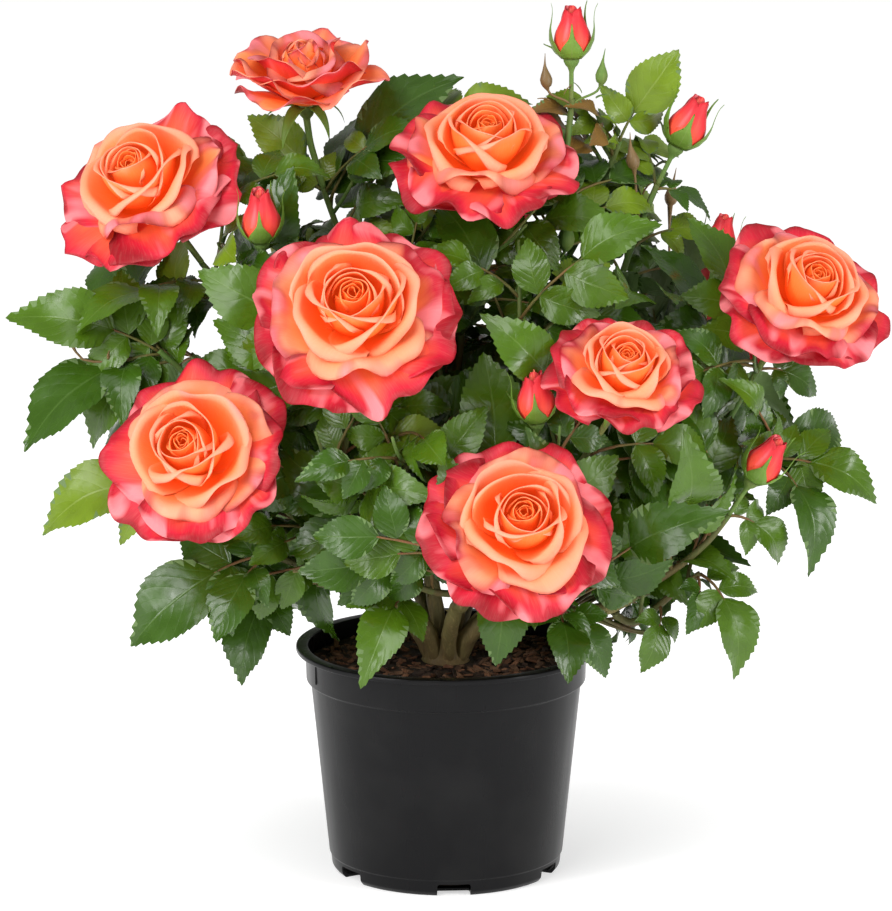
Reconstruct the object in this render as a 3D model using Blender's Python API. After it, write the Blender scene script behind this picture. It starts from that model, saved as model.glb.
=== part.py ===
"""A rose bush in its black nursery pot, as separate closed solids.

Metres, +Z up. The origin is the centre of the pot's flat underside, -Y is the front and +X is the
right-hand side. Everything is worked out from the named sizes below: the pot is a turned profile, each
cane is one tapering limb from the bud union, each shoot is a stem with compound leaves that grow on it
by a seeded rule, and each bloom is built up from whorls of petals on its own stalk.
"""

import math
import random
from dataclasses import dataclass
from typing import NamedTuple

import bmesh
import bpy
from mathutils import Matrix, Vector, noise
from mathutils.bvhtree import BVHTree
from mathutils.geometry import interpolate_bezier

# ---- Driving sizes ---------------------------------------------------------------------------------

GAP = 0.0003  # between pieces that touch
SIDE_GAP = 0.0006  # between a limb's rounded side and the foot of what it bears
SEED = 7
UP = Vector((0.0, 0.0, 1.0))

POT_HEIGHT = 0.1453
LIP_RADIUS = 0.0950
LIP_HEIGHT = 0.0036
COLLAR_RADIUS = 0.0885
COLLAR_HEIGHT = 0.0228
BODY_TOP_RADIUS = 0.0846
BASE_RADIUS = 0.0722
WALL = 0.0016
POT_SIDES = 32
NOTCHES = 6
NOTCH_WIDTH = 0.0210
NOTCH_HEIGHT = 0.0080
NOTCH_DEPTH = 0.0160
FIRST_NOTCH = math.radians(-86.0)

SOIL_LEVEL = 0.1340
SOIL_BUMP = 0.0018
SOIL_FLAT_RADIUS = 0.0270  # level under the bud union

UNION_RADIUS = 0.0185
UNION_FLARE = 0.0215
UNION_HEIGHT = 0.0230
UNION_SIDES = 14
UNION_HEART = 0.0060  # height over the soil of the point that the canes spread from
CANE_FOOT_DISTANCE = 0.0225  # from that point to a cane's foot

CANE_SIDES = 7
CANE_STEPS = 8
CANE_WANDER = 0.0030

STEM_SIDES = 4
STEM_STEPS = 5
LEAD = 0.0030  # a stem's straight start and end, square to what it meets
STEM_FOOT_RADIUS = 0.0026
STEM_TIP_RADIUS = 0.0018

LEAF_SPIRAL = math.radians(144.0)  # turn from one leaf to the next along a stem
LEAF_RISE = math.radians(38.0)  # a young petiole's angle over the horizontal
LONG_LEAF = 0.132  # low on the bush
SHORT_LEAF = 0.100  # at its top
LEAF_LOW, LEAF_HIGH = 0.20, 0.46  # the heights that those lengths belong to
CROWN_MIDDLE = Vector((0.0, 0.010, 0.300))
CROWN_LOW = Vector((-0.276, -0.205, 0.128))  # the box that all leaves keep to
CROWN_HIGH = Vector((0.278, 0.236, 0.530))
FACE_OUT = 0.90  # how strongly leaves turn to the front or the back
FACE_UP = 0.45  # and to the sky
LOWEST_TIP = 0.158  # no leaf of the spiral hangs lower
RACHIS_RADIUS = 0.0010
RACHIS_STEPS = 3
PAIRS = ((0.40, 0.40), (0.22, 0.30))  # along the leaf, and the leaflet's share of its length
SPREAD = math.radians(60.0)  # between a side leaflet and the rachis
BLADE_WIDTH = 0.76
BLADE_THICK = 0.0013
ROOT_OUT = 0.00025  # from the rachis's middle to a side leaflet's root
BLADE_ROOT_THICK = 0.0011
BLADE_ARCH = 0.09  # how far a blade's middle rises over the line from root to tip, over its length
BLADE_FOLD = 0.12  # how far the midrib lies under the blade's edges, over its width
BLADE_CLEAR = 0.0012  # kept free round each blade
SPACE_SLACK = 0.018  # how far a blade may lean into a neighbour's space

PEDUNCLE_RADIUS = 0.0021
PEDUNCLE_SIDES = 5


class Cane(NamedTuple):
    """One limb: the direction in degrees in which it leaves the bud union, its tip and its radii."""

    azimuth: float
    elevation: float
    tip: tuple
    foot_radius: float
    tip_radius: float


@dataclass
class Shoot:
    """A leafy stem: the cane that bears it, how far along, its tip, and the tips its outer leaves reach."""

    cane: str
    along: float
    tip: tuple = None
    leaves: int = 3
    turn: float = 0.0
    reach: tuple = ()


@dataclass
class Bloom:
    """An open rose: its centre, the way it faces in degrees, its radius, its shoot and how cupped it is."""

    shoot: str
    centre: tuple
    azimuth: float
    elevation: float
    radius: float
    cup: float = 0.0
    stalk: float = 0.045


@dataclass
class Bud:
    """A coloured bud: its middle, the way it points, its length, and where its stalk meets a shoot."""

    shoot: str
    along: float
    centre: tuple
    azimuth: float
    elevation: float
    length: float


CANES = {
    "cane_left": Cane(178, 40, (-0.072, -0.020, 0.287), 0.0062, 0.0042),
    "cane_front_left": Cane(229, 42, (-0.065, -0.078, 0.243), 0.0056, 0.0038),
    "cane_front": Cane(278, 44, (0.027, -0.080, 0.218), 0.0052, 0.0036),
    "cane_low_right": Cane(325, 38, (0.118, -0.050, 0.190), 0.0058, 0.0040),
    "cane_right": Cane(8, 38, (0.150, 0.000, 0.250), 0.0062, 0.0046),
    "cane_back_right": Cane(62, 40, (0.074, 0.110, 0.245), 0.0056, 0.0040),
    "cane_back_left": Cane(120, 40, (-0.063, 0.110, 0.245), 0.0056, 0.0040),
    "cane_centre": Cane(170, 76, (-0.022, 0.022, 0.296), 0.0052, 0.0040),
    "cane_tall": Cane(20, 72, (0.080, 0.036, 0.300), 0.0052, 0.0040),
}

SHOOTS = {
    "shoot_upper_left": Shoot("cane_left", 1.0, leaves=4, turn=40),
    "shoot_top_left": Shoot("cane_centre", 1.0, leaves=4, turn=200, reach=((-0.129, 0.000, 0.485),)),
    "shoot_top_middle": Shoot("cane_centre", 0.93, leaves=3, turn=90),
    "shoot_front_middle": Shoot("cane_front_left", 1.0, leaves=3, turn=10),
    "shoot_front_left": Shoot("cane_front_left", 0.90, leaves=3, turn=100),
    "shoot_front_right": Shoot("cane_front", 1.0, leaves=3, turn=300),
    "shoot_front_low": Shoot("cane_front", 0.86, leaves=3, turn=200),
    "shoot_far_right": Shoot(
        "cane_right", 1.0, leaves=3, turn=120, reach=((0.232, 0.010, 0.312),)
    ),
    "shoot_top_bud": Shoot("cane_tall", 0.82, leaves=3, turn=70, reach=((0.035, 0.000, 0.514),)),
    "shoot_right_bud": Shoot("cane_tall", 1.0, leaves=3, turn=330, reach=((0.190, 0.040, 0.431),)),
    "shoot_low_bud": Shoot("cane_low_right", 1.0, leaves=3, turn=0, reach=((0.203, -0.050, 0.182),)),
    "shoot_left": Shoot(
        "cane_left",
        0.88,
        (-0.178, -0.024, 0.338),
        leaves=1,
        turn=150,
        reach=((-0.271, -0.030, 0.367), (-0.267, -0.050, 0.289), (-0.217, 0.012, 0.371)),
    ),
    "shoot_low_left": Shoot(
        "cane_front_left",
        0.80,
        (-0.160, -0.058, 0.262),
        leaves=1,
        turn=60,
        reach=((-0.254, -0.060, 0.239), (-0.219, -0.082, 0.200)),
    ),
    "shoot_bottom_left": Shoot(
        "cane_front_left",
        0.66,
        (-0.110, -0.080, 0.222),
        leaves=1,
        turn=250,
        reach=((-0.183, -0.080, 0.166), (-0.140, -0.110, 0.172)),
    ),
    "shoot_rim_left": Shoot(
        "cane_left", 0.62, (-0.105, -0.030, 0.200), leaves=2, turn=190, reach=((-0.132, -0.052, 0.134),)
    ),
    "shoot_rim_front": Shoot(
        "cane_front",
        0.62,
        (-0.020, -0.092, 0.205),
        leaves=1,
        turn=200,
        reach=((-0.051, -0.140, 0.158), (0.033, -0.142, 0.166)),
    ),
    "shoot_rim_right": Shoot(
        "cane_low_right",
        0.60,
        (0.070, -0.078, 0.190),
        leaves=1,
        turn=280,
        reach=((0.076, -0.128, 0.154), (0.106, -0.100, 0.158)),
    ),
    "shoot_right": Shoot(
        "cane_right",
        0.88,
        (0.205, -0.016, 0.268),
        leaves=1,
        turn=20,
        reach=((0.272, -0.020, 0.246), (0.237, -0.060, 0.207), (0.255, 0.030, 0.285)),
    ),
    "shoot_bottom_right": Shoot(
        "cane_low_right",
        0.86,
        (0.158, -0.052, 0.203),
        leaves=1,
        turn=300,
        reach=((0.186, -0.072, 0.141), (0.148, -0.086, 0.160)),
    ),
    "shoot_top_leaves": Shoot(
        "cane_tall",
        0.94,
        (0.108, 0.044, 0.458),
        leaves=2,
        turn=0,
        reach=((0.145, 0.040, 0.522), (0.098, 0.036, 0.521)),
    ),
    "shoot_upper_middle": Shoot(
        "cane_centre",
        0.86,
        (-0.030, 0.030, 0.445),
        leaves=2,
        turn=230,
        reach=((0.005, 0.030, 0.509),),
    ),
    "shoot_middle": Shoot("cane_front_left", 0.94, (-0.022, -0.105, 0.285), leaves=3, turn=290),
    "shoot_upper_front": Shoot("cane_tall", 0.70, (0.045, -0.060, 0.365), leaves=3, turn=300),
    "shoot_back_top": Shoot("cane_back_right", 1.0, leaves=3, turn=100),
    "shoot_back_left": Shoot("cane_back_left", 1.0, leaves=3, turn=60),
    "shoot_back_right": Shoot("cane_back_right", 0.90, leaves=3, turn=30),
    "shoot_left_back": Shoot(
        "cane_back_left",
        0.88,
        (-0.165, 0.110, 0.310),
        leaves=1,
        turn=140,
        reach=((-0.228, 0.100, 0.290), (-0.190, 0.150, 0.250)),
    ),
    "shoot_right_back": Shoot(
        "cane_back_right",
        0.78,
        (0.160, 0.110, 0.290),
        leaves=1,
        turn=40,
        reach=((0.232, 0.100, 0.270), (0.190, 0.160, 0.235)),
    ),
    "shoot_low_back_left": Shoot(
        "cane_back_left",
        0.66,
        (-0.080, 0.130, 0.205),
        leaves=1,
        turn=90,
        reach=((-0.110, 0.190, 0.160), (-0.150, 0.120, 0.165)),
    ),
    "shoot_low_back_right": Shoot(
        "cane_back_right",
        0.62,
        (0.070, 0.130, 0.200),
        leaves=1,
        turn=80,
        reach=((0.060, 0.200, 0.155), (0.135, 0.130, 0.160)),
    ),
}

BLOOMS = {
    "bloom_upper_left": Bloom("shoot_upper_left", (-0.183, -0.020, 0.439), 242, 40, 0.061),
    "bloom_top_left": Bloom("shoot_top_left", (-0.088, 0.030, 0.498), 260, 64, 0.046, cup=0.75),
    "bloom_top_middle": Bloom("shoot_top_middle", (0.024, -0.020, 0.452), 276, 50, 0.0615),
    "bloom_front_middle": Bloom("shoot_front_middle", (-0.053, -0.130, 0.381), 266, 34, 0.066),
    "bloom_front_left": Bloom("shoot_front_left", (-0.152, -0.120, 0.292), 255, 27, 0.0585),
    "bloom_front_right": Bloom("shoot_front_right", (0.106, -0.125, 0.343), 274, 46, 0.050, cup=0.3),
    "bloom_front_low": Bloom("shoot_front_low", (0.043, -0.168, 0.258), 276, 27, 0.062, stalk=0.035),
    "bloom_far_right": Bloom("shoot_far_right", (0.217, -0.030, 0.370), 286, 38, 0.057),
    "bloom_back_top": Bloom("shoot_back_top", (0.028, 0.122, 0.426), 88, 52, 0.050, cup=0.3),
    "bloom_back_left": Bloom("shoot_back_left", (-0.064, 0.172, 0.324), 100, 36, 0.055),
    "bloom_back_right": Bloom("shoot_back_right", (0.202, 0.120, 0.340), 62, 38, 0.047),
}

BUDS = {
    "bud_top": Bud("shoot_top_bud", 1.0, (0.078, 0.020, 0.527), 90, 88, 0.030),
    "bud_right": Bud("shoot_right_bud", 1.0, (0.152, 0.040, 0.470), 5, 64, 0.034),
    "bud_low": Bud("shoot_low_bud", 1.0, (0.197, -0.060, 0.277), 350, 58, 0.032),
    "bud_upper_left": Bud("shoot_upper_left", 0.50, (-0.113, -0.048, 0.428), 260, 84, 0.034),
    "bud_front": Bud("shoot_front_right", 0.45, (0.0525, -0.112, 0.326), 240, 80, 0.032),
    "bud_far_right": Bud("shoot_far_right", 0.55, (0.174, 0.060, 0.394), 30, 76, 0.028),
}

FINISHES = {  # base colour, roughness
    "black_plastic": ((0.022, 0.022, 0.024), 0.42),
    "compost": ((0.060, 0.030, 0.016), 0.95),
    "bark": ((0.120, 0.100, 0.040), 0.75),
    "green_stem": ((0.090, 0.160, 0.040), 0.55),
    "foliage": ((0.028, 0.095, 0.022), 0.38),
    "petals": ((0.900, 0.160, 0.100), 0.55),
}


# ---- Small helpers -----------------------------------------------------------------------------------


def clear_scene():
    """Removes whatever the file starts with."""
    for obj in list(bpy.data.objects):
        bpy.data.objects.remove(obj, do_unlink=True)


def finish(name):
    """The Principled material of that name."""
    material = bpy.data.materials.get(name) or bpy.data.materials.new(name)
    colour, roughness = FINISHES[name]
    material.use_nodes = True
    shader = material.node_tree.nodes["Principled BSDF"]
    shader.inputs["Base Color"].default_value = (*colour, 1.0)
    shader.inputs["Roughness"].default_value = roughness
    shader.inputs["Metallic"].default_value = 0.0
    material.diffuse_color = (*colour, 1.0)
    return material


def add_object(name, bm, material="foliage", collection=None):
    """Turns a bmesh into an object in the scene, or in the collection that is given."""
    bmesh.ops.triangulate(bm, faces=bm.faces)
    bmesh.ops.recalc_face_normals(bm, faces=bm.faces)
    mesh = bpy.data.meshes.new(name)
    bm.to_mesh(mesh)
    obj = bpy.data.objects.new(name, mesh)
    (collection or bpy.context.scene.collection).objects.link(obj)
    mesh.materials.append(finish(material))
    return obj


def heading(azimuth, elevation):
    """The unit vector at an azimuth from +X and an elevation over the horizontal, both in degrees."""
    level = math.cos(math.radians(elevation))
    return Vector(
        (
            level * math.cos(math.radians(azimuth)),
            level * math.sin(math.radians(azimuth)),
            math.sin(math.radians(elevation)),
        )
    )


def across(vector, guide):
    """The part of the guide that is square to the vector, at unit length."""
    flat = guide - vector * guide.dot(vector)
    if flat.length < 1e-6:
        flat = vector.orthogonal()
    return flat.normalized()


def arch(start, leaving, end, arriving, steps):
    """Points along one smooth curve with the given end directions."""
    reach = (end - start).length / 3.0
    return interpolate_bezier(start, start + leaving * reach, end - arriving * reach, end, steps)


def stem_points(foot, leaving, tip, arriving, steps):
    """A stem's curve, with a short straight start and end so that both its ends lie square."""
    inner = arch(foot + leaving * LEAD, leaving, tip - arriving * LEAD, arriving, steps)
    return [foot] + inner + [tip]


def point_at(points, along):
    """The point and the direction at a fraction of a line of points."""
    place = min(max(along, 0.0), 1.0) * (len(points) - 1)
    index = min(int(place), len(points) - 2)
    first, second = points[index], points[index + 1]
    return first.lerp(second, place - index), (second - first).normalized()


def turned(profile, sides):
    """A closed body turned round the Z axis from a profile of (radius, height)."""
    bm = bmesh.new()
    row = [bm.verts.new((radius, 0.0, height)) for radius, height in profile]
    edges = [bm.edges.new(pair) for pair in zip(row, row[1:])]
    bmesh.ops.spin(
        bm,
        geom=row + edges,
        cent=(0.0, 0.0, 0.0),
        axis=(0.0, 0.0, 1.0),
        angle=2.0 * math.pi,
        steps=sides,
        use_merge=True,
    )
    bmesh.ops.remove_doubles(bm, verts=bm.verts, dist=1e-6)
    return bm


def extruded(bm, cap, keep):
    """The new end face of a body that grows by one ring; its old end stays only at the body's foot."""
    grown = bmesh.ops.extrude_face_region(bm, geom=[cap])
    if not keep:
        bmesh.ops.delete(bm, geom=[cap], context="FACES_ONLY")
    return next(item for item in grown["geom"] if isinstance(item, bmesh.types.BMFace))


def tube(points, radii, sides):
    """A tapering limb: a filled circle extruded from point to point, square to the line."""
    bm = bmesh.new()
    side = (points[1] - points[0]).orthogonal().normalized()
    disc = bmesh.ops.create_circle(bm, cap_ends=True, segments=sides, radius=1.0)
    cap = disc["verts"][0].link_faces[0]
    ring = [v.co.copy() for v in cap.verts]
    for index, (point, radius) in enumerate(zip(points, radii)):
        before = points[max(index - 1, 0)]
        after = points[min(index + 1, len(points) - 1)]
        direction = (after - before).normalized()
        side = across(direction, side)
        third = direction.cross(side)
        if index:
            cap = extruded(bm, cap, keep=index == 1)
        for vert, unit in zip(cap.verts, ring):
            vert.co = point + radius * (side * unit.x + third * unit.y)
    return bm


# ---- Pot, soil and bud union ---------------------------------------------------------------------------


def body_radius(height):
    """The outer radius of the pot's tapering body at a height."""
    share = height / (POT_HEIGHT - COLLAR_HEIGHT)
    return BASE_RADIUS + (BODY_TOP_RADIUS - BASE_RADIUS) * share


def pot_profile():
    """The pot's wall, from the centre of its underside round to the centre of its inner floor."""
    collar = POT_HEIGHT - COLLAR_HEIGHT
    lip = POT_HEIGHT - LIP_HEIGHT
    corner = 0.0030
    return [
        (0.0, 0.0),
        (BASE_RADIUS - corner, 0.0),
        (body_radius(corner), corner),
        (BODY_TOP_RADIUS, collar - 0.0010),
        (COLLAR_RADIUS, collar + 0.0006),
        (COLLAR_RADIUS + 0.0005, lip),
        (LIP_RADIUS, lip + 0.0004),
        (LIP_RADIUS, POT_HEIGHT - 0.0010),
        (LIP_RADIUS - 0.0010, POT_HEIGHT),
        (COLLAR_RADIUS + 0.0005 - WALL, POT_HEIGHT),
        (COLLAR_RADIUS - WALL, collar + 0.0008),
        (BODY_TOP_RADIUS - WALL, collar - 0.0030),
        (body_radius(corner) - WALL, corner + WALL),
        (BASE_RADIUS - corner - WALL, WALL),
        (0.0, WALL),
    ]


def build_pot():
    """The nursery pot, with drainage notches cut through the corner of its wall and floor."""
    pot = add_object("pot", turned(pot_profile(), POT_SIDES), "black_plastic")
    bm = bmesh.new()
    for index in range(NOTCHES):
        turn = Matrix.Rotation(FIRST_NOTCH + index * 2.0 * math.pi / NOTCHES, 4, "Z")
        place = Matrix.Translation((BASE_RADIUS + 0.002, 0.0, 0.0))
        size = Matrix.Diagonal((NOTCH_DEPTH * 2.0, NOTCH_WIDTH, NOTCH_HEIGHT * 2.0, 1.0))
        bmesh.ops.create_cube(bm, size=1.0, matrix=turn @ place @ size)
    cutter = add_object("notch_cutter", bm, "black_plastic")
    cutter.hide_render = True
    cutter.display_type = "WIRE"
    cut = pot.modifiers.new("notches", "BOOLEAN")
    cut.operation = "DIFFERENCE"
    cut.solver = "EXACT"
    cut.object = cutter
    return pot


def build_soil():
    """The compost that fills the pot, clear of its wall and of the drainage notches."""
    collar = POT_HEIGHT - COLLAR_HEIGHT
    inside = WALL + 2.0 * GAP
    foot = BASE_RADIUS - NOTCH_DEPTH - 0.002
    profile = [
        (0.0, WALL + GAP),
        (foot, WALL + GAP),
        (body_radius(NOTCH_HEIGHT) - inside - 0.003, NOTCH_HEIGHT + 0.003),
        (BODY_TOP_RADIUS - inside - 0.0006, collar - 0.0040),
        (COLLAR_RADIUS - inside - 0.0004, collar + 0.0060),
        (COLLAR_RADIUS - inside, SOIL_LEVEL - 0.0010),
        (0.0560, SOIL_LEVEL),
        (SOIL_FLAT_RADIUS, SOIL_LEVEL),
        (0.0, SOIL_LEVEL),
    ]
    bm = turned(profile, POT_SIDES)
    for vert in bm.verts:
        radius = vert.co.xy.length
        if vert.co.z > SOIL_LEVEL - 1e-5 and radius > SOIL_FLAT_RADIUS + 0.005:
            vert.co.z += SOIL_BUMP * noise.noise(vert.co * 60.0)
    return add_object("soil", bm, "compost")


def build_bud_union():
    """The knobbly stump, flared at its foot and cut flat at soil level, that all the canes spring from."""
    profile = [
        (0.0, 0.0),
        (UNION_FLARE, 0.0),
        (UNION_RADIUS + 0.0008, 0.0040),
        (UNION_RADIUS, 0.0095),
        (UNION_RADIUS * 0.86, 0.0160),
        (UNION_RADIUS * 0.50, UNION_HEIGHT - 0.0015),
        (0.0, UNION_HEIGHT),
    ]
    bm = turned(profile, UNION_SIDES)
    for vert in bm.verts:
        if vert.co.z > 1e-5:
            vert.co.xy *= 1.0 + 0.10 * noise.noise(vert.co * 90.0)
        vert.co.z += SOIL_LEVEL + GAP
    return add_object("bud_union", bm, "bark")


# ---- Canes and stems ---------------------------------------------------------------------------------


def cane_radius(cane, along):
    """A cane's radius at a fraction of its length: it thins fastest near its foot."""
    return cane.foot_radius + (cane.tip_radius - cane.foot_radius) * along**0.7


def cane_line(name):
    """The points and radii of a cane, from just off the bud union to its tip."""
    cane = CANES[name]
    leaving = heading(cane.azimuth, cane.elevation)
    foot = Vector((0.0, 0.0, SOIL_LEVEL + UNION_HEART)) + leaving * CANE_FOOT_DISTANCE
    tip = Vector(cane.tip)
    arriving = ((tip - foot).normalized() + UP * 0.7).normalized()
    points = arch(foot, (leaving + UP * 0.45).normalized(), tip, arriving, CANE_STEPS)
    rng = random.Random(f"{SEED} {name}")
    for point in points[2:-1]:
        point += Vector([rng.uniform(-CANE_WANDER, CANE_WANDER) for _ in range(3)])
    last = len(points) - 1
    return points, [cane_radius(cane, index / last) for index in range(last + 1)]


def shoot_foot(shoot, toward):
    """Where a shoot leaves its cane: the point, 0.3 mm clear of the bark, and the direction outwards."""
    points, _ = cane_line(shoot.cane)
    point, direction = point_at(points, shoot.along)
    if shoot.along >= 1.0:
        return points[-1] + direction * GAP * 1.5, direction
    out = across(direction, toward - point)
    return point + out * (cane_radius(CANES[shoot.cane], shoot.along) + SIDE_GAP), out


def stalk_base(bloom):
    """The underside of a bloom's hip and the lower end of its stalk."""
    face = heading(bloom.azimuth, bloom.elevation)
    hip = Vector(bloom.centre) - face * bloom.radius * 0.45
    home = Vector(CANES[SHOOTS[bloom.shoot].cane].tip)
    falling = (face * -0.55 + (home - hip).normalized() * 0.9).normalized()
    return hip, hip + falling * bloom.stalk, falling


def bud_base(bud):
    """The underside of a bud's hip."""
    return Vector(bud.centre) - heading(bud.azimuth, bud.elevation) * bud.length * 0.62


def shoot_line(name):
    """The points and radii of a shoot's stem, from its cane to the foot of what it carries."""
    shoot = SHOOTS[name]
    carried = [b for b in BLOOMS.values() if b.shoot == name]
    topped = [b for b in BUDS.values() if b.shoot == name and b.along >= 1.0]
    if carried:
        _, tip, falling = stalk_base(carried[0])
        arriving = -falling
    elif topped:
        arriving = heading(topped[0].azimuth, topped[0].elevation)
        tip = bud_base(topped[0]) - arriving * 0.022
    else:
        tip = Vector(shoot.tip)
        arriving = None
    foot, leaving = shoot_foot(shoot, tip)
    if arriving is None:
        arriving = ((tip - foot).normalized() + UP * 0.1).normalized()
    points = stem_points(foot, leaving, tip, arriving, STEM_STEPS)
    last = len(points) - 1
    radii = [
        STEM_FOOT_RADIUS + (STEM_TIP_RADIUS - STEM_FOOT_RADIUS) * index / last
        for index in range(last + 1)
    ]
    return points, radii


# ---- Leaves --------------------------------------------------------------------------------------------


def blade(root, forward, normal, length, width, grow=0.0):
    """One leaflet: a thin body, arched and folded along its midrib, its thick root sunk into the rachis."""
    side = forward.cross(normal).normalized()
    half = normal * (BLADE_THICK / 2.0 + grow)
    root_half = normal * (BLADE_ROOT_THICK / 2.0)
    rise = normal * (BLADE_ARCH * length)
    wide = side * (width / 2.0 + grow)
    bm = bmesh.new()
    root_top, root_under = bm.verts.new(root + root_half), bm.verts.new(root - root_half)
    mid = root + forward * length * 0.46 + rise - normal * (BLADE_FOLD * width)
    mid_top, mid_under = bm.verts.new(mid + half), bm.verts.new(mid - half)
    shoulder = root + forward * length * 0.40 + rise
    left, right = bm.verts.new(shoulder - wide), bm.verts.new(shoulder + wide)
    tip = bm.verts.new(root + forward * (length + grow))
    for corners in (
        (mid_top, root_top, left),
        (mid_top, left, tip),
        (mid_top, tip, right),
        (mid_top, right, root_top),
        (mid_under, left, root_under),
        (mid_under, tip, left),
        (mid_under, right, tip),
        (mid_under, root_under, right),
        (left, root_top, root_under),
        (right, root_under, root_top),
    ):
        bm.faces.new(corners)
    return bm


class Space:
    """The pieces already in place, each a tree of faces that a new piece is tested against."""

    def __init__(self):
        self.trees = []

    def add(self, bm, owner=None):
        """Takes in a piece, under the name of the stem that it grows from."""
        low = Vector([min(v.co[axis] for v in bm.verts) for axis in range(3)])
        high = Vector([max(v.co[axis] for v in bm.verts) for axis in range(3)])
        self.trees.append((BVHTree.FromBMesh(bm), low, high, owner))

    def free(self, bm, but=None):
        """Whether a piece touches nothing that is in place, apart from what the owner named carries."""
        low = Vector([min(v.co[axis] for v in bm.verts) for axis in range(3)])
        high = Vector([max(v.co[axis] for v in bm.verts) for axis in range(3)])
        tree = BVHTree.FromBMesh(bm)
        for other, other_low, other_high, owner in self.trees:
            if owner is not None and owner == but:
                continue
            if any(high[a] < other_low[a] or low[a] > other_high[a] for a in range(3)):
                continue
            if tree.overlap(other):
                return False
        return True


def distance_to(line, point):
    """The distance from a point to a line of points."""
    best = 1e9
    for first, second in zip(line, line[1:]):
        edge = second - first
        share = max(0.0, min(1.0, (point - first).dot(edge) / edge.length_squared))
        best = min(best, (first + edge * share - point).length)
    return best


def in_own_space(name, lines, point):
    """Whether a point lies nearer to its own stem than to any other, give or take the slack."""
    own = distance_to(lines[name], point)
    return all(
        own < distance_to(line, point) + SPACE_SLACK for other, line in lines.items() if other != name
    )


def in_crown(bm):
    """Whether a piece lies inside the crown's box."""
    return all(
        CROWN_LOW[axis] <= vert.co[axis] <= CROWN_HIGH[axis] for vert in bm.verts for axis in range(3)
    )


def leaf_length(height):
    """Leaves are longest low on the bush and shortest at its top."""
    share = max(0.0, min(1.0, (height - LEAF_LOW) / (LEAF_HIGH - LEAF_LOW)))
    return LONG_LEAF + (SHORT_LEAF - LONG_LEAF) * share


def leaf_facing(point):
    """The way a leaf turns its upper face: out of the crown, and to the nearer of its front and back."""
    side = -1.0 if point.y < CROWN_MIDDLE.y else 1.0
    out = point - CROWN_MIDDLE
    return Vector((out.x, out.y, max(out.z, 0.0))).normalized() + Vector((0.0, side * FACE_OUT, FACE_UP))


def grow_leaf(name, lines, space, start, stem_way, tip, pairs):
    """One compound leaf from a stem to its tip.

    The rachis carries the leaflets in pairs and one at its end. Whatever would touch another piece or
    leave the shoot's space is skipped. Returns the pieces that stay, or none.
    """
    way = tip - start
    length = way.length
    leaving = (way.normalized() + stem_way * 0.5 + UP * 0.25).normalized()
    arriving = (way.normalized() - UP * 0.25).normalized()
    line = arch(start, leaving, tip, arriving, 12)
    outward = leaf_facing(start)
    rachis = [point_at(line, 0.55 * step / (RACHIS_STEPS - 1))[0] for step in range(RACHIS_STEPS)]
    radii = [RACHIS_RADIUS * (1.25 - 0.35 * step / (RACHIS_STEPS - 1)) for step in range(RACHIS_STEPS)]
    clear = tube(rachis, [radius + BLADE_CLEAR for radius in radii], 3)
    if not space.free(clear, but=name):
        return []
    own = [tube(rachis, radii, 3)]
    probe = [own[0]]
    blades = [(0.54, 0.0, 0.0)] + [
        (along, side, share) for along, share in PAIRS[:pairs] for side in (-1.0, 1.0)
    ]
    placed = 0
    for along, side, share in blades:
        root, forward = point_at(line, along)
        size = length * share
        if side:
            normal = across(forward, outward)
            turn = Matrix.Rotation(-side * SPREAD, 3, normal)
            forward = (turn @ forward - normal * 0.12).normalized()
            normal = across(forward, normal)
            root = root + forward * ROOT_OUT
        else:
            size = (tip - root).length
            forward = (tip - root).normalized()
            normal = across(forward, outward)
        bigger = blade(root + forward * 0.003, forward, normal, size - 0.003, size * BLADE_WIDTH, BLADE_CLEAR)
        middle = root + forward * size * 0.5
        piece = blade(root, forward, normal, size, size * BLADE_WIDTH)
        if not (in_crown(piece) and space.free(bigger) and in_own_space(name, lines, middle)):
            continue
        if any(tree_touch(bigger, other) for other in probe[1:]):
            continue
        own.append(piece)
        probe.append(bigger)
        placed += 1
    return own if placed >= 2 else []


def tree_touch(first, second):
    """Whether two pieces touch."""
    return bool(BVHTree.FromBMesh(first).overlap(BVHTree.FromBMesh(second)))


def leaf_tip(point, direction, turn, length):
    """Where a leaf's tip comes to when it leaves a stem at an angle round it, rising and then drooping."""
    level = across(direction, Vector((math.cos(turn), math.sin(turn), 0.0)))
    way = level * math.cos(LEAF_RISE) + direction * math.sin(LEAF_RISE)
    way.z -= 0.25
    return point + way.normalized() * length


def grow_leaves(lines, space):
    """The leaves of every shoot, the outer ones first and then one round of the spiral after another."""
    leaves = {name: [] for name in SHOOTS}

    def try_leaf(name, along, tip, pairs):
        start, direction = point_at(lines[name], along)
        pieces = grow_leaf(name, lines, space, start, direction, tip, pairs)
        for piece in pieces:
            space.add(piece, name)
        leaves[name] += pieces
        return bool(pieces)

    for name, shoot in SHOOTS.items():
        for index, tip in enumerate(shoot.reach):
            try_leaf(name, 0.985 - 0.12 * index, Vector(tip), 1 if index else 2)
    most = max(shoot.leaves for shoot in SHOOTS.values())
    for turn in range(most):
        for name, shoot in SHOOTS.items():
            if turn >= shoot.leaves:
                continue
            rng = random.Random(f"{SEED} {name} {turn}")
            along = 0.92 - 0.62 * turn / max(shoot.leaves - 1, 1) + rng.uniform(-0.05, 0.05)
            point, direction = point_at(lines[name], along)
            base = math.radians(shoot.turn) + turn * LEAF_SPIRAL
            for nudge in (0.0, 0.5, -0.5, 1.0, -1.0, 1.6, -1.6, 2.4, -2.4, math.pi):
                length = leaf_length(point.z) * rng.uniform(0.92, 1.08)
                tip = leaf_tip(point, direction, base + nudge, length)
                tip.z = max(tip.z, LOWEST_TIP)
                if try_leaf(name, along, tip, 1):
                    break
    return leaves


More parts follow.
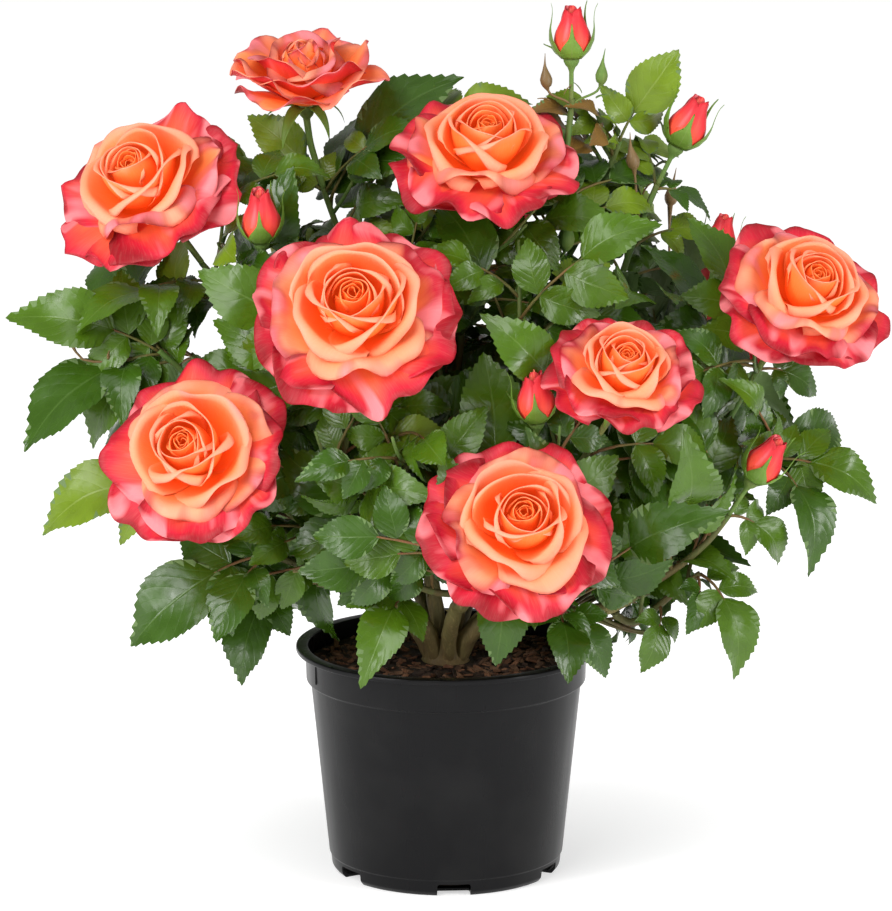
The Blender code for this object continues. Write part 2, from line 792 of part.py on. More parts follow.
# ---- Blooms and buds -----------------------------------------------------------------------------------


def corolla(frame, petals, points, rings, phase):
    """The petals of a rose as one closed body, each whorl standing out of the one below.

    Each ring is (radius, height, dip, lift, turn): the outline dips by a share of the radius between
    petals, one edge of each petal is lifted over the next, and the whorls are turned against each other.
    """
    bm = bmesh.new()
    disc = bmesh.ops.create_circle(bm, cap_ends=True, segments=petals * points, radius=1.0)
    cap = disc["verts"][0].link_faces[0]
    for index, (radius, height, dip, lift, turn) in enumerate(rings):
        if index:
            cap = extruded(bm, cap, keep=index == 1)
        for step, vert in enumerate(cap.verts):
            place = 2.0 * (step % points) / (points - 1) - 1.0
            angle = phase + turn + 2.0 * math.pi * (step // points + place * 0.44 + 0.5) / petals
            out = radius * (1.0 - dip * place**2)
            rise = height + lift * place
            vert.co = frame @ Vector((out * math.cos(angle), out * math.sin(angle), rise))
    return bm


def facing(point, direction):
    """A frame at a point whose Z axis is the direction."""
    side = across(direction, UP if abs(direction.z) < 0.95 else Vector((0.0, 1.0, 0.0)))
    rows = Matrix((side.cross(direction), side, direction)).transposed()
    return Matrix.Translation(point) @ rows.to_4x4()


def sepals(frame, count, length, radius, rise):
    """The green leaves under a flower: thin blades whose roots are sunk into the hip."""
    pieces = []
    for index in range(count):
        angle = 0.4 + index * 2.0 * math.pi / count
        level = Vector((math.cos(angle), math.sin(angle), 0.0))
        out = (frame.to_3x3() @ (level + Vector((0.0, 0.0, rise)))).normalized()
        normal = across(out, frame.to_3x3() @ Vector((0.0, 0.0, 1.0)))
        root = frame @ (level * radius)
        pieces.append(blade(root, out, normal, length, length * 0.30))
    return pieces


def bloom_pieces(name, bloom):
    """One open rose: five sepals, three whorls of petals round a rolled heart, and its stalk and hip."""
    face = heading(bloom.azimuth, bloom.elevation)
    hip, foot, falling = stalk_base(bloom)
    size = bloom.radius
    cup = bloom.cup
    stalk = stem_points(foot - falling * GAP * 1.5, -falling, hip, face, 3)
    line = stalk + [hip + face * rise for rise in (0.004, 0.012)]
    radii = [PEDUNCLE_RADIUS * 0.9] * 4 + [PEDUNCLE_RADIUS * 1.15, 0.0046, 0.0056]
    frame = facing(hip + face * 0.011, face)
    rng = random.Random(f"{SEED} {name}")
    phase = rng.uniform(0.0, math.pi)
    whorls = [  # radius, height, dip between petals, lift of one edge and turn, over the radius
        (0.09, -0.06, 0.00, 0.00, 0.0),
        (0.46, -0.03, 0.78, 0.00, 0.0),
        (0.14, 0.02, 0.00, 0.00, 0.0),
        (0.66, 0.12 + 0.16 * cup, 0.05, 0.02, 0.0),
        (1.00, 0.20 + 0.42 * cup, 0.14, 0.07, 0.0),
        (0.62, 0.20 + 0.24 * cup, 0.05, 0.02, 0.0),
        (0.75, 0.50, 0.13, 0.07, 0.5),
        (0.44, 0.38, 0.04, 0.00, 0.7),
        (0.48, 0.70, 0.14, 0.07, 1.0),
        (0.25, 0.56, 0.00, 0.00, 1.2),
        (0.20, 0.80, 0.16, 0.04, 1.5),
    ]
    rings = [(r * size, h * size, dip, lift * size, turn) for r, h, dip, lift, turn in whorls]
    stem = tube(line, radii, PEDUNCLE_SIDES)
    return [(corolla(frame, 5, 3, rings, phase), "petals"), (stem, "green_stem")]


def bud_pieces(name, bud, lines):
    """The pieces of one coloured bud: its stalk from the shoot, its hip, the furled petals and sepals."""
    way = heading(bud.azimuth, bud.elevation)
    hip = bud_base(bud)
    if bud.along >= 1.0:
        foot = lines[bud.shoot][-1] + way * GAP * 1.5
        stalk = [foot, foot.lerp(hip, 0.5), hip]
    else:
        point, direction = point_at(lines[bud.shoot], bud.along)
        out = across(direction, hip - point)
        radius = STEM_FOOT_RADIUS + (STEM_TIP_RADIUS - STEM_FOOT_RADIUS) * bud.along
        stalk = stem_points(point + out * (radius + SIDE_GAP), out, hip, way, 3)
    size = bud.length
    profile = [
        (0.12, 0.125),
        (0.26, 0.110),
        (0.46, 0.250),
        (0.70, 0.260),
        (1.04, 0.060),
    ]
    line = stalk + [hip + way * rise * size for rise, _ in profile]
    stem_radii = [PEDUNCLE_RADIUS * 0.72] * len(stalk)
    furled = tube(line, stem_radii + [radius * size for _, radius in profile], PEDUNCLE_SIDES)
    frame = facing(hip + way * 0.26 * size, way)
    return [(furled, "petals")] + [(leaf, "foliage") for leaf in sepals(frame, 4, 0.55 * size, 0.002, 0.15)]


# ---- Joining and building ------------------------------------------------------------------------------


def keep_largest(obj):
    """Drops every loose scrap and sealed hollow, and keeps the one body that is left."""
    bm = bmesh.new()
    bm.from_mesh(obj.data)
    left = set(bm.verts)
    groups = []
    while left:
        group, edge = set(), [left.pop()]
        while edge:
            vert = edge.pop()
            group.add(vert)
            near = {other for link in vert.link_edges for other in link.verts} & left
            left -= near
            edge += near
        groups.append(group)
    groups.sort(key=len, reverse=True)
    bmesh.ops.delete(bm, geom=[v for group in groups[1:] for v in group], context="VERTS")
    bm.to_mesh(obj.data)
    bm.free()


def fuse(name, pieces):
    """Joins pieces, each a (bmesh, finish), into one closed body with one Boolean union on a collection."""
    whole = add_object(name, *pieces[0])
    if len(pieces) == 1:
        return whole
    rest = bpy.data.collections.new(f"{name}_pieces")
    bpy.context.scene.collection.children.link(rest)
    for index, (piece, material) in enumerate(pieces[1:]):
        add_object(f"{name}_{index}", piece, material, rest)
    union = whole.modifiers.new("union", "BOOLEAN")
    union.operation = "UNION"
    union.solver = "MANIFOLD"
    union.material_mode = "TRANSFER"
    union.operand_type = "COLLECTION"
    union.collection = rest
    graph = bpy.context.evaluated_depsgraph_get()
    joined = bpy.data.meshes.new_from_object(whole.evaluated_get(graph))
    whole.modifiers.clear()
    whole.data = joined
    for piece in list(rest.objects):
        bpy.data.objects.remove(piece, do_unlink=True)
    bpy.data.collections.remove(rest)
    keep_largest(whole)
    return whole


def build():
    """The whole plant: the hard pieces first, then stems, flowers and, last, the leaves between them."""
    clear_scene()
    space = Space()
    for solid in (build_pot(), build_soil(), build_bud_union()):
        bm = bmesh.new()
        bm.from_mesh(solid.data)
        space.add(bm)
    for name in CANES:
        points, radii = cane_line(name)
        limb = tube(points, radii, CANE_SIDES)
        space.add(limb)
        add_object(name, limb, "bark")
    lines = {}
    stems = {}
    for name in SHOOTS:
        points, radii = shoot_line(name)
        lines[name] = points
        stems[name] = tube(points, radii, STEM_SIDES)
        space.add(stems[name], name)
    for name, bloom in BLOOMS.items():
        pieces = bloom_pieces(name, bloom)
        for piece, _ in pieces:
            space.add(piece)
        fuse(name, pieces)
    for name, bud in BUDS.items():
        pieces = bud_pieces(name, bud, lines)
        for piece, _ in pieces:
            space.add(piece)
        fuse(name, pieces)
    for name, leaves in grow_leaves(lines, space).items():
        fuse(name, [(stems[name], "green_stem")] + [(leaf, "foliage") for leaf in leaves])


build()
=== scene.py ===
"""The looks of a rose bush in its black nursery pot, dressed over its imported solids.

Metres, +Z up, in the frame of the solids: the origin is the centre of the pot's flat underside, -Y is
the front and +X is the right-hand side. The limbs, shoots, flowers and leaves follow the rule that the
solids grow by, and are carried here to finer stems, more leaflets and whole whorls of petals.
"""

import logging
import random
from collections import defaultdict
from dataclasses import dataclass, field
from enum import Enum
from math import atan2, copysign, cos, degrees, floor, hypot, log, pi, radians, sin, sqrt
from typing import Callable, Iterable, Optional, Sequence

import bmesh
import bpy
import numpy as np
from bmesh.types import BMesh, BMFace, BMVert
from bpy.types import ID, Material, Mesh, Node, NodeSocket, Object
from mathutils import Matrix, Vector, noise
from mathutils.bvhtree import BVHTree
from mathutils.geometry import interpolate_bezier
from mathutils.kdtree import KDTree


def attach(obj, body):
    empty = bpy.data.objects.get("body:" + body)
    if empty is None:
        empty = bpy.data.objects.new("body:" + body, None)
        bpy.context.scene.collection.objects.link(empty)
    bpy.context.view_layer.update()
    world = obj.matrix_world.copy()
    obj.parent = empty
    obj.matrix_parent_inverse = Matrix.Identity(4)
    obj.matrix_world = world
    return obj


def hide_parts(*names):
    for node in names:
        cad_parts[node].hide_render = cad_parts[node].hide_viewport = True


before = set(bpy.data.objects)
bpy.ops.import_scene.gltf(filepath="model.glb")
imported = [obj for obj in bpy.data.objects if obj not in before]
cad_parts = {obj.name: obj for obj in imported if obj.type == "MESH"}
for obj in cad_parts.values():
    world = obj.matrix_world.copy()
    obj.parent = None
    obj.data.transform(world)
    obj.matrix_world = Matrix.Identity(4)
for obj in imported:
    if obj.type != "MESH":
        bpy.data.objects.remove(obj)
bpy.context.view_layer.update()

LOG = logging.getLogger("rose_bush")

GAP = 0.0003
SEED = 7
UP = Vector((0.0, 0.0, 1.0))
BODY = "root"
WELD = 1e-5
BLADE_THICKNESS = 0.0005
SOIL_TOP = 0.134
GOLDEN_SHARE = 0.618
PETAL_LAYERS = ("age", "blush", "crest")

Points = list[Vector]
Profile = list[tuple[float, float]]


# ---- Directions, lines and placing ------------------------


def heading(azimuth: float, elevation: float) -> Vector:
    """The unit vector at an azimuth from +X and an elevation over the horizontal, both in degrees."""
    level = cos(radians(elevation))
    return Vector(
        (
            level * cos(radians(azimuth)),
            level * sin(radians(azimuth)),
            sin(radians(elevation)),
        )
    )


def across(vector: Vector, guide: Vector) -> Vector:
    """The part of the guide that is square to the vector, at unit length."""
    flat = guide - vector * guide.dot(vector)
    if flat.length < 1e-6:
        flat = vector.orthogonal()
    return flat.normalized()


def arch(start: Vector, leaving: Vector, end: Vector, arriving: Vector, steps: int) -> Points:
    """Points along one smooth curve with the given end directions."""
    reach = (end - start).length / 3.0
    return interpolate_bezier(start, start + leaving * reach, end - arriving * reach, end, steps)


def point_at(points: Points, along: float) -> tuple[Vector, Vector]:
    """The point and the direction at a fraction of a line of points."""
    place = min(max(along, 0.0), 1.0) * (len(points) - 1)
    index = min(int(place), len(points) - 2)
    first, second = points[index], points[index + 1]
    return first.lerp(second, place - index), (second - first).normalized()


def refined(points: Points, per_span: int) -> Points:
    """A smooth line through all the given points.

    Args:
        points: the line's fixed points.
        per_span: how many short steps to put between one point and the next.

    Returns:
        The finer line, which passes through every fixed point.
    """
    fine = [points[0]]
    last = len(points) - 1
    for index in range(last):
        before = points[max(index - 1, 0)]
        after = points[min(index + 2, last)]
        first, second = points[index], points[index + 1]
        leaving = first + (second - before) / 6.0
        arriving = second - (after - first) / 6.0
        fine += interpolate_bezier(first, leaving, arriving, second, per_span + 1)[1:]
    return fine


def facing(point: Vector, direction: Vector) -> Matrix:
    """A frame at a point whose Z axis is the direction."""
    side = across(direction, UP if abs(direction.z) < 0.95 else Vector((0.0, 1.0, 0.0)))
    rows = Matrix((side.cross(direction), side, direction)).transposed()
    return Matrix.Translation(point) @ rows.to_4x4()


def smooth_step(value: np.ndarray, low: float, high: float) -> np.ndarray:
    """0 below the low value, 1 over the high one and a smooth rise between them."""
    share = np.clip((value - low) / (high - low), 0.0, 1.0)
    return share * share * (3.0 - 2.0 * share)


# ---- Making meshes and pieces ------------------------


def extruded(bm: BMesh, cap: BMFace, keep: bool) -> BMFace:
    """Grows a body by one ring.

    Args:
        bm: the body.
        cap: its end face.
        keep: whether that face stays, as it does at the body's foot.

    Returns:
        The new end face.
    """
    grown = bmesh.ops.extrude_face_region(bm, geom=[cap])
    if not keep:
        bmesh.ops.delete(bm, geom=[cap], context="FACES_ONLY")
    return next(item for item in grown["geom"] if isinstance(item, BMFace))


def tube(points: Points, radii: Sequence[float], sides: int) -> BMesh:
    """A tapering limb: a filled circle extruded from point to point, square to the line.

    Args:
        points: its middle line.
        radii: the radius at each point.
        sides: how many faces go round it.

    Returns:
        The closed body.
    """
    bm = bmesh.new()
    side = (points[1] - points[0]).orthogonal().normalized()
    disc = bmesh.ops.create_circle(bm, cap_ends=True, segments=sides, radius=1.0)
    cap = disc["verts"][0].link_faces[0]
    ring = [v.co.copy() for v in cap.verts]
    for index, (point, radius) in enumerate(zip(points, radii)):
        before = points[max(index - 1, 0)]
        after = points[min(index + 1, len(points) - 1)]
        direction = (after - before).normalized()
        side = across(direction, side)
        third = direction.cross(side)
        if index:
            cap = extruded(bm, cap, keep=index == 1)
        for vert, unit in zip(cap.verts, ring):
            vert.co = point + radius * (side * unit.x + third * unit.y)
    bmesh.ops.recalc_face_normals(bm, faces=bm.faces)
    return bm


def bevelled(bm: BMesh, offset: float, segments: int) -> None:
    """Rounds every edge of a body."""
    bmesh.ops.bevel(
        bm, geom=bm.edges, affect="EDGES", offset=offset, segments=segments, profile=0.5, material=-1
    )


def turned(profile: Profile, sides: int) -> BMesh:
    """A closed body turned round the Z axis.

    Args:
        profile: its outline, as (radius, height).
        sides: how many faces go round it.

    Returns:
        The body, closed where the profile meets the axis.
    """
    bm = bmesh.new()
    row = [bm.verts.new((radius, 0.0, height)) for radius, height in profile]
    edges = [bm.edges.new(pair) for pair in zip(row, row[1:])]
    bmesh.ops.spin(
        bm,
        geom=row + edges,
        cent=(0.0, 0.0, 0.0),
        axis=(0.0, 0.0, 1.0),
        angle=2.0 * pi,
        steps=sides,
        use_merge=True,
    )
    bmesh.ops.remove_doubles(bm, verts=bm.verts, dist=1e-6)
    bmesh.ops.recalc_face_normals(bm, faces=bm.faces)
    return bm


def rounded(profile: Profile, radius: float, steps: int = 3) -> Profile:
    """A profile with its inner corners softened.

    Args:
        profile: the corners, as (radius, height).
        radius: how far from a corner its rounding starts.
        steps: the number of short edges that replace a corner.

    Returns:
        The softened profile, with the same two ends.
    """
    corners = [Vector(point) for point in profile]
    soft = [corners[0]]
    for before, corner, after in zip(corners, corners[1:], corners[2:]):
        reach = min(radius, (before - corner).length * 0.45, (after - corner).length * 0.45)
        start = corner + (before - corner).normalized() * reach
        end = corner + (after - corner).normalized() * reach
        for step in range(steps + 1):
            share = step / steps
            soft.append(start.lerp(corner, share).lerp(corner.lerp(end, share), share))
    soft.append(corners[-1])
    return [(point.x, point.y) for point in soft]


def linked(name: str, data: Optional[ID]) -> Object:
    """A new object with that data, linked to the scene."""
    obj = bpy.data.objects.new(name, data)
    bpy.context.scene.collection.objects.link(obj)
    return obj


def jitter(rng: random.Random, reach: float) -> Vector:
    """A random offset of up to the reach along each axis."""
    return Vector([rng.uniform(-reach, reach) for _ in range(3)])


def mesh_of(bm: BMesh, name: str, *materials: Material) -> Mesh:
    """The mesh that a bmesh holds, smooth-shaded; the bmesh is freed.

    Args:
        bm: the bmesh.
        name: the mesh's name.
        materials: its materials, in the order of its faces' numbers.

    Returns:
        The mesh.
    """
    for item in bm.faces:
        item.smooth = True
    mesh = bpy.data.meshes.new(name)
    bm.to_mesh(mesh)
    bm.free()
    for material in materials:
        mesh.materials.append(material)
    return mesh


def piece_of(mesh: Mesh, name: str, stands_for: Iterable[str] = ()) -> Object:
    """Puts a finished mesh in the scene as a piece of the plant.

    Args:
        mesh: the mesh, already in place.
        name: the piece's name.
        stands_for: the solids that it replaces.

    Returns:
        The piece.
    """
    obj = linked(name, mesh)
    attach(obj, BODY)
    if stands_for:
        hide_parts(*stands_for)
    return obj


def joined(meshes: Sequence[Mesh], name: str, skin: Optional[Material] = None) -> Mesh:
    """One mesh made of many small ones, which are removed.

    Args:
        meshes: the small ones, each in place.
        name: the new mesh's name.
        skin: a material that replaces all of theirs.

    Returns:
        The mesh.
    """
    made = [linked(name, mesh) for mesh in meshes]
    with bpy.context.temp_override(active_object=made[0], object=made[0], selected_editable_objects=made):
        bpy.ops.object.join()
    whole = made[0].data
    bpy.data.objects.remove(made[0], do_unlink=True)
    for mesh in meshes:
        if mesh is not whole and mesh.users == 0:
            bpy.data.meshes.remove(mesh)
    whole.name = name
    if skin:
        whole.materials.clear()
        whole.materials.append(skin)
    return whole


def thicken(piece: Object, thickness: float) -> None:
    """Gives petals their thickness, with the outer faces' material round the margin."""
    wall = piece.modifiers.new("thickness", "SOLIDIFY")
    wall.thickness = thickness
    wall.offset = 0.0
    wall.material_offset = 1
    wall.material_offset_rim = 1


def leaf_blade(columns: int, rows: int, spot: Callable[[float, float], Vector], skin: Material) -> Mesh:
    """A thin green blade.

    Args:
        columns: how many faces it has across.
        rows: how many along.
        spot: gives a point's place from -1 to 1 across and from 0 to 1 along.
        skin: its material.

    Returns:
        The closed blade with its own leaf map.
    """
    bm = bmesh.new()
    leaf_map = bm.loops.layers.uv.new("leaf")
    grid = bmesh.ops.create_grid(bm, x_segments=columns, y_segments=rows, size=1.0)
    for vert in grid["verts"]:
        wide, long = vert.co.x, (vert.co.y + 1.0) / 2.0
        for loop in vert.link_loops:
            loop[leaf_map].uv = ((wide + 1.0) / 2.0, long)
        vert.co = spot(wide, long)
    bmesh.ops.solidify(bm, geom=bm.faces, thickness=BLADE_THICKNESS)
    bmesh.ops.remove_doubles(bm, verts=bm.verts, dist=WELD)
    bmesh.ops.recalc_face_normals(bm, faces=bm.faces)
    return mesh_of(bm, "blade", skin)


# ---- Materials ------------------------


class Tree:
    """The node tree of one Principled material, built a node at a time."""

    def __init__(self, name: str) -> None:
        """Starts the material of that name with its Principled shader."""
        self.material = bpy.data.materials.new(name)
        self.material.use_nodes = True
        self.nodes = self.material.node_tree.nodes
        self.links = self.material.node_tree.links
        self.shader = self.nodes["Principled BSDF"]
        self.material.cycles.emission_sampling = "NONE"

    def put(self, socket: NodeSocket, value: object) -> None:
        """Links a socket to another one, or sets its value."""
        if isinstance(value, NodeSocket):
            self.links.new(value, socket)
        elif isinstance(value, tuple) and len(value) == 3 and len(socket.default_value) == 4:
            socket.default_value = (*value, 1.0)
        else:
            socket.default_value = value

    def node(self, kind: str, inputs: Optional[dict] = None, **settings: object) -> Node:
        """A new node.

        Args:
            kind: the node's type without its Shader prefix.
            inputs: values or sockets by input name or number.
            settings: the node's own properties.

        Returns:
            The node.
        """
        made = self.nodes.new("ShaderNode" + kind)
        for key, value in settings.items():
            setattr(made, key, value)
        for key, value in (inputs or {}).items():
            self.put(made.inputs[key], value)
        return made

    def set(self, **inputs: object) -> None:
        """Sets the shader's sockets, named with underscores for spaces."""
        for key, value in inputs.items():
            self.put(self.shader.inputs[key.replace("_", " ")], value)

    def math(self, operation: str, *values: object) -> NodeSocket:
        """The result of a Math node."""
        return self.node("Math", dict(enumerate(values)), operation=operation).outputs[0]

    def span(
        self, value: object, low: float, high: float, to_low: float = 0.0, to_high: float = 1.0
    ) -> NodeSocket:
        """A value moved from one range to another, and kept inside it."""
        inputs = {0: value, 1: low, 2: high, 3: to_low, 4: to_high}
        return self.node("MapRange", inputs, clamp=True).outputs[0]

    def mix(self, factor: object, first: object, second: object, blend: str = "MIX") -> NodeSocket:
        """Two colours mixed by a factor."""
        inputs = {0: factor, 6: first, 7: second}
        return self.node("Mix", inputs, data_type="RGBA", blend_type=blend).outputs[2]

    def ramp(self, factor: object, stops: Sequence[tuple[float, tuple]]) -> NodeSocket:
        """A colour ramp with stops of (position, colour)."""
        made = self.node("ValToRGB", {0: factor})
        elements = made.color_ramp.elements
        while len(elements) < len(stops):
            elements.new(1.0)
        for element, (position, colour) in zip(elements, stops):
            element.position = position
            element.color = (*colour, 1.0)
        return made.outputs[0]

    def noise(
        self, vector: object, scale: float, detail: float = 3.0, stretch: tuple = (1.0, 1.0, 1.0)
    ) -> NodeSocket:
        """Noise on the given coordinates, which are stretched first."""
        placed = self.node("Mapping", {"Vector": vector, "Scale": stretch}).outputs[0]
        inputs = {"Vector": placed, "Scale": scale, "Detail": detail}
        return self.node("TexNoise", inputs).outputs[0]

    def object_place(self) -> NodeSocket:
        """The place on the piece in object coordinates."""
        return self.node("TexCoord").outputs["Object"]

    def map_place(self, name: str) -> tuple[NodeSocket, NodeSocket]:
        """The two coordinates of a UV map of that name."""
        made = self.node("SeparateXYZ", {0: self.node("UVMap", uv_map=name).outputs[0]})
        return made.outputs[0], made.outputs[1]

    def attribute(self, name: str) -> NodeSocket:
        """A number that the mesh carries at each point."""
        return self.node("Attribute", attribute_name=name).outputs["Fac"]

    def bump(self, height: object, strength: float, distance: float) -> None:
        """Raises the shader's surface by a height."""
        inputs = {"Height": height, "Strength": strength, "Distance": distance}
        self.set(Normal=self.node("Bump", inputs).outputs[0])


@dataclass(frozen=True)
class SatinPlastic:
    """Black moulded plastic with a soft sheen and the faint grain of its mould."""

    name: str = "black_plastic"
    colour: tuple = (0.0045, 0.0045, 0.005)
    dust: tuple = (0.017, 0.0168, 0.0165)
    roughness: float = 0.29

    def material(self) -> Material:
        """Builds the material."""
        tree = Tree(self.name)
        place = tree.object_place()
        cloudy = tree.noise(place, 22.0, 3.0)
        drawn = tree.noise(place, 60.0, 2.0, (1.0, 1.0, 0.12))
        grain = tree.noise(place, 1400.0, 2.0)
        worn = tree.math("MULTIPLY", tree.span(cloudy, 0.45, 0.75), 0.35)
        tree.set(
            Base_Color=tree.mix(worn, self.colour, self.dust),
            Roughness=tree.span(drawn, 0.3, 0.7, self.roughness - 0.05, self.roughness + 0.07),
            Specular_IOR_Level=0.14,
        )
        tree.bump(tree.math("ADD", grain, tree.math("MULTIPLY", drawn, 2.0)), 0.25, 0.00012)
        return tree.material


@dataclass(frozen=True)
class Mulch:
    """Composted bark: broken brown crumbs with darker damp between them."""

    name: str
    dark: tuple
    light: tuple

    def material(self) -> Material:
        """Builds the material."""
        tree = Tree(self.name)
        place = tree.object_place()
        patch = tree.noise(place, 120.0, 5.0)
        fibre = tree.noise(place, 420.0, 4.0, (1.0, 0.3, 1.0))
        colour = tree.ramp(patch, [(0.35, self.dark), (0.68, self.light)])
        tree.set(Base_Color=tree.mix(tree.span(fibre, 0.4, 0.7, 0.0, 0.5), colour, self.dark), Roughness=0.92)
        tree.bump(tree.math("ADD", patch, fibre), 0.8, 0.0012)
        return tree.material


@dataclass(frozen=True)
class Bark:
    """The skin of a limb: woody brown low down, greener and flushed with red higher up."""

    name: str
    wood: tuple
    green: tuple
    flush: tuple
    low: float
    high: float
    grain: float = 0.6

    def material(self) -> Material:
        """Builds the material."""
        tree = Tree(self.name)
        place = tree.object_place()
        height = tree.node("SeparateXYZ", {0: place}).outputs[2]
        patch = tree.noise(place, 55.0, 2.0, (1.0, 1.0, 0.45))
        ripe = tree.span(height, self.low, self.high)
        ripe = tree.math("ADD", ripe, tree.span(patch, 0.35, 0.65, -0.25, 0.25))
        skin = tree.mix(tree.span(ripe, 0.0, 1.0), self.wood, self.green)
        blush = tree.math("MULTIPLY", tree.span(tree.noise(place, 26.0, 2.0), 0.5, 0.68), 0.55)
        fibre = tree.noise(place, 700.0, 1.0, (1.0, 1.0, 0.16))
        pale = tree.span(fibre, 0.55, 0.75, 0.0, 0.35)
        skin = tree.mix(pale, tree.mix(blush, skin, self.flush), tuple(min(1.0, c * 2.2) for c in self.wood))
        tree.set(Base_Color=skin, Roughness=tree.span(fibre, 0.3, 0.7, 0.48, 0.7), Specular_IOR_Level=0.25)
        tree.bump(tree.math("ADD", fibre, patch), self.grain, 0.0006)
        return tree.material


@dataclass(frozen=True)
class LeafSkin:
    """One side of a leaf: its own plain tone, pleated between the veins that run from the midrib."""

    name: str
    colour: tuple
    vein: tuple
    roughness: float
    pleat: float = 0.22
    pairs_of_veins: float = 7.0
    lightened: float = 1.45

    def material(self) -> Material:
        """Builds the material."""
        tree = Tree(self.name)
        wide, long = tree.map_place("leaf")
        off = tree.math("ABSOLUTE", tree.math("SUBTRACT", tree.math("MULTIPLY", wide, 2.0), 1.0))
        swept = tree.math("MULTIPLY", off, tree.math("ADD", tree.math("MULTIPLY", off, 0.1), 0.26))
        ribs = tree.math("MULTIPLY", tree.math("SUBTRACT", long, swept), self.pairs_of_veins * pi)
        wave = tree.math("ABSOLUTE", tree.math("SINE", ribs))
        groove = tree.span(wave, 0.0, 0.22, 1.0, 0.0)
        groove = tree.math("MULTIPLY", groove, tree.span(off, 0.85, 1.0, 1.0, 0.2))
        midrib = tree.span(off, 0.012, 0.05, 1.0, 0.0)
        cloudy = tree.noise(tree.object_place(), 70.0, 1.0)
        lines = tree.math("MAXIMUM", tree.math("MULTIPLY", groove, 0.14), tree.math("MULTIPLY", midrib, 0.7))
        light = tuple(part * self.lightened for part in self.colour)
        base = tree.mix(tree.span(cloudy, 0.35, 0.7, 0.0, 0.55), self.colour, light)
        tree.set(
            Base_Color=tree.mix(lines, base, self.vein),
            Roughness=tree.span(cloudy, 0.3, 0.7, self.roughness - 0.06, self.roughness + 0.08),
            Specular_IOR_Level=0.38,
        )
        pucker = tree.noise(tree.object_place(), 150.0, 1.0)
        swell = tree.math("MULTIPLY", tree.math("POWER", wave, 0.45), 0.5)
        swell = tree.math("ADD", swell, tree.math("MULTIPLY", pucker, 1.5))
        tree.bump(tree.math("SUBTRACT", swell, tree.math("MULTIPLY", midrib, 0.7)), self.pleat, 0.001)
        return tree.material


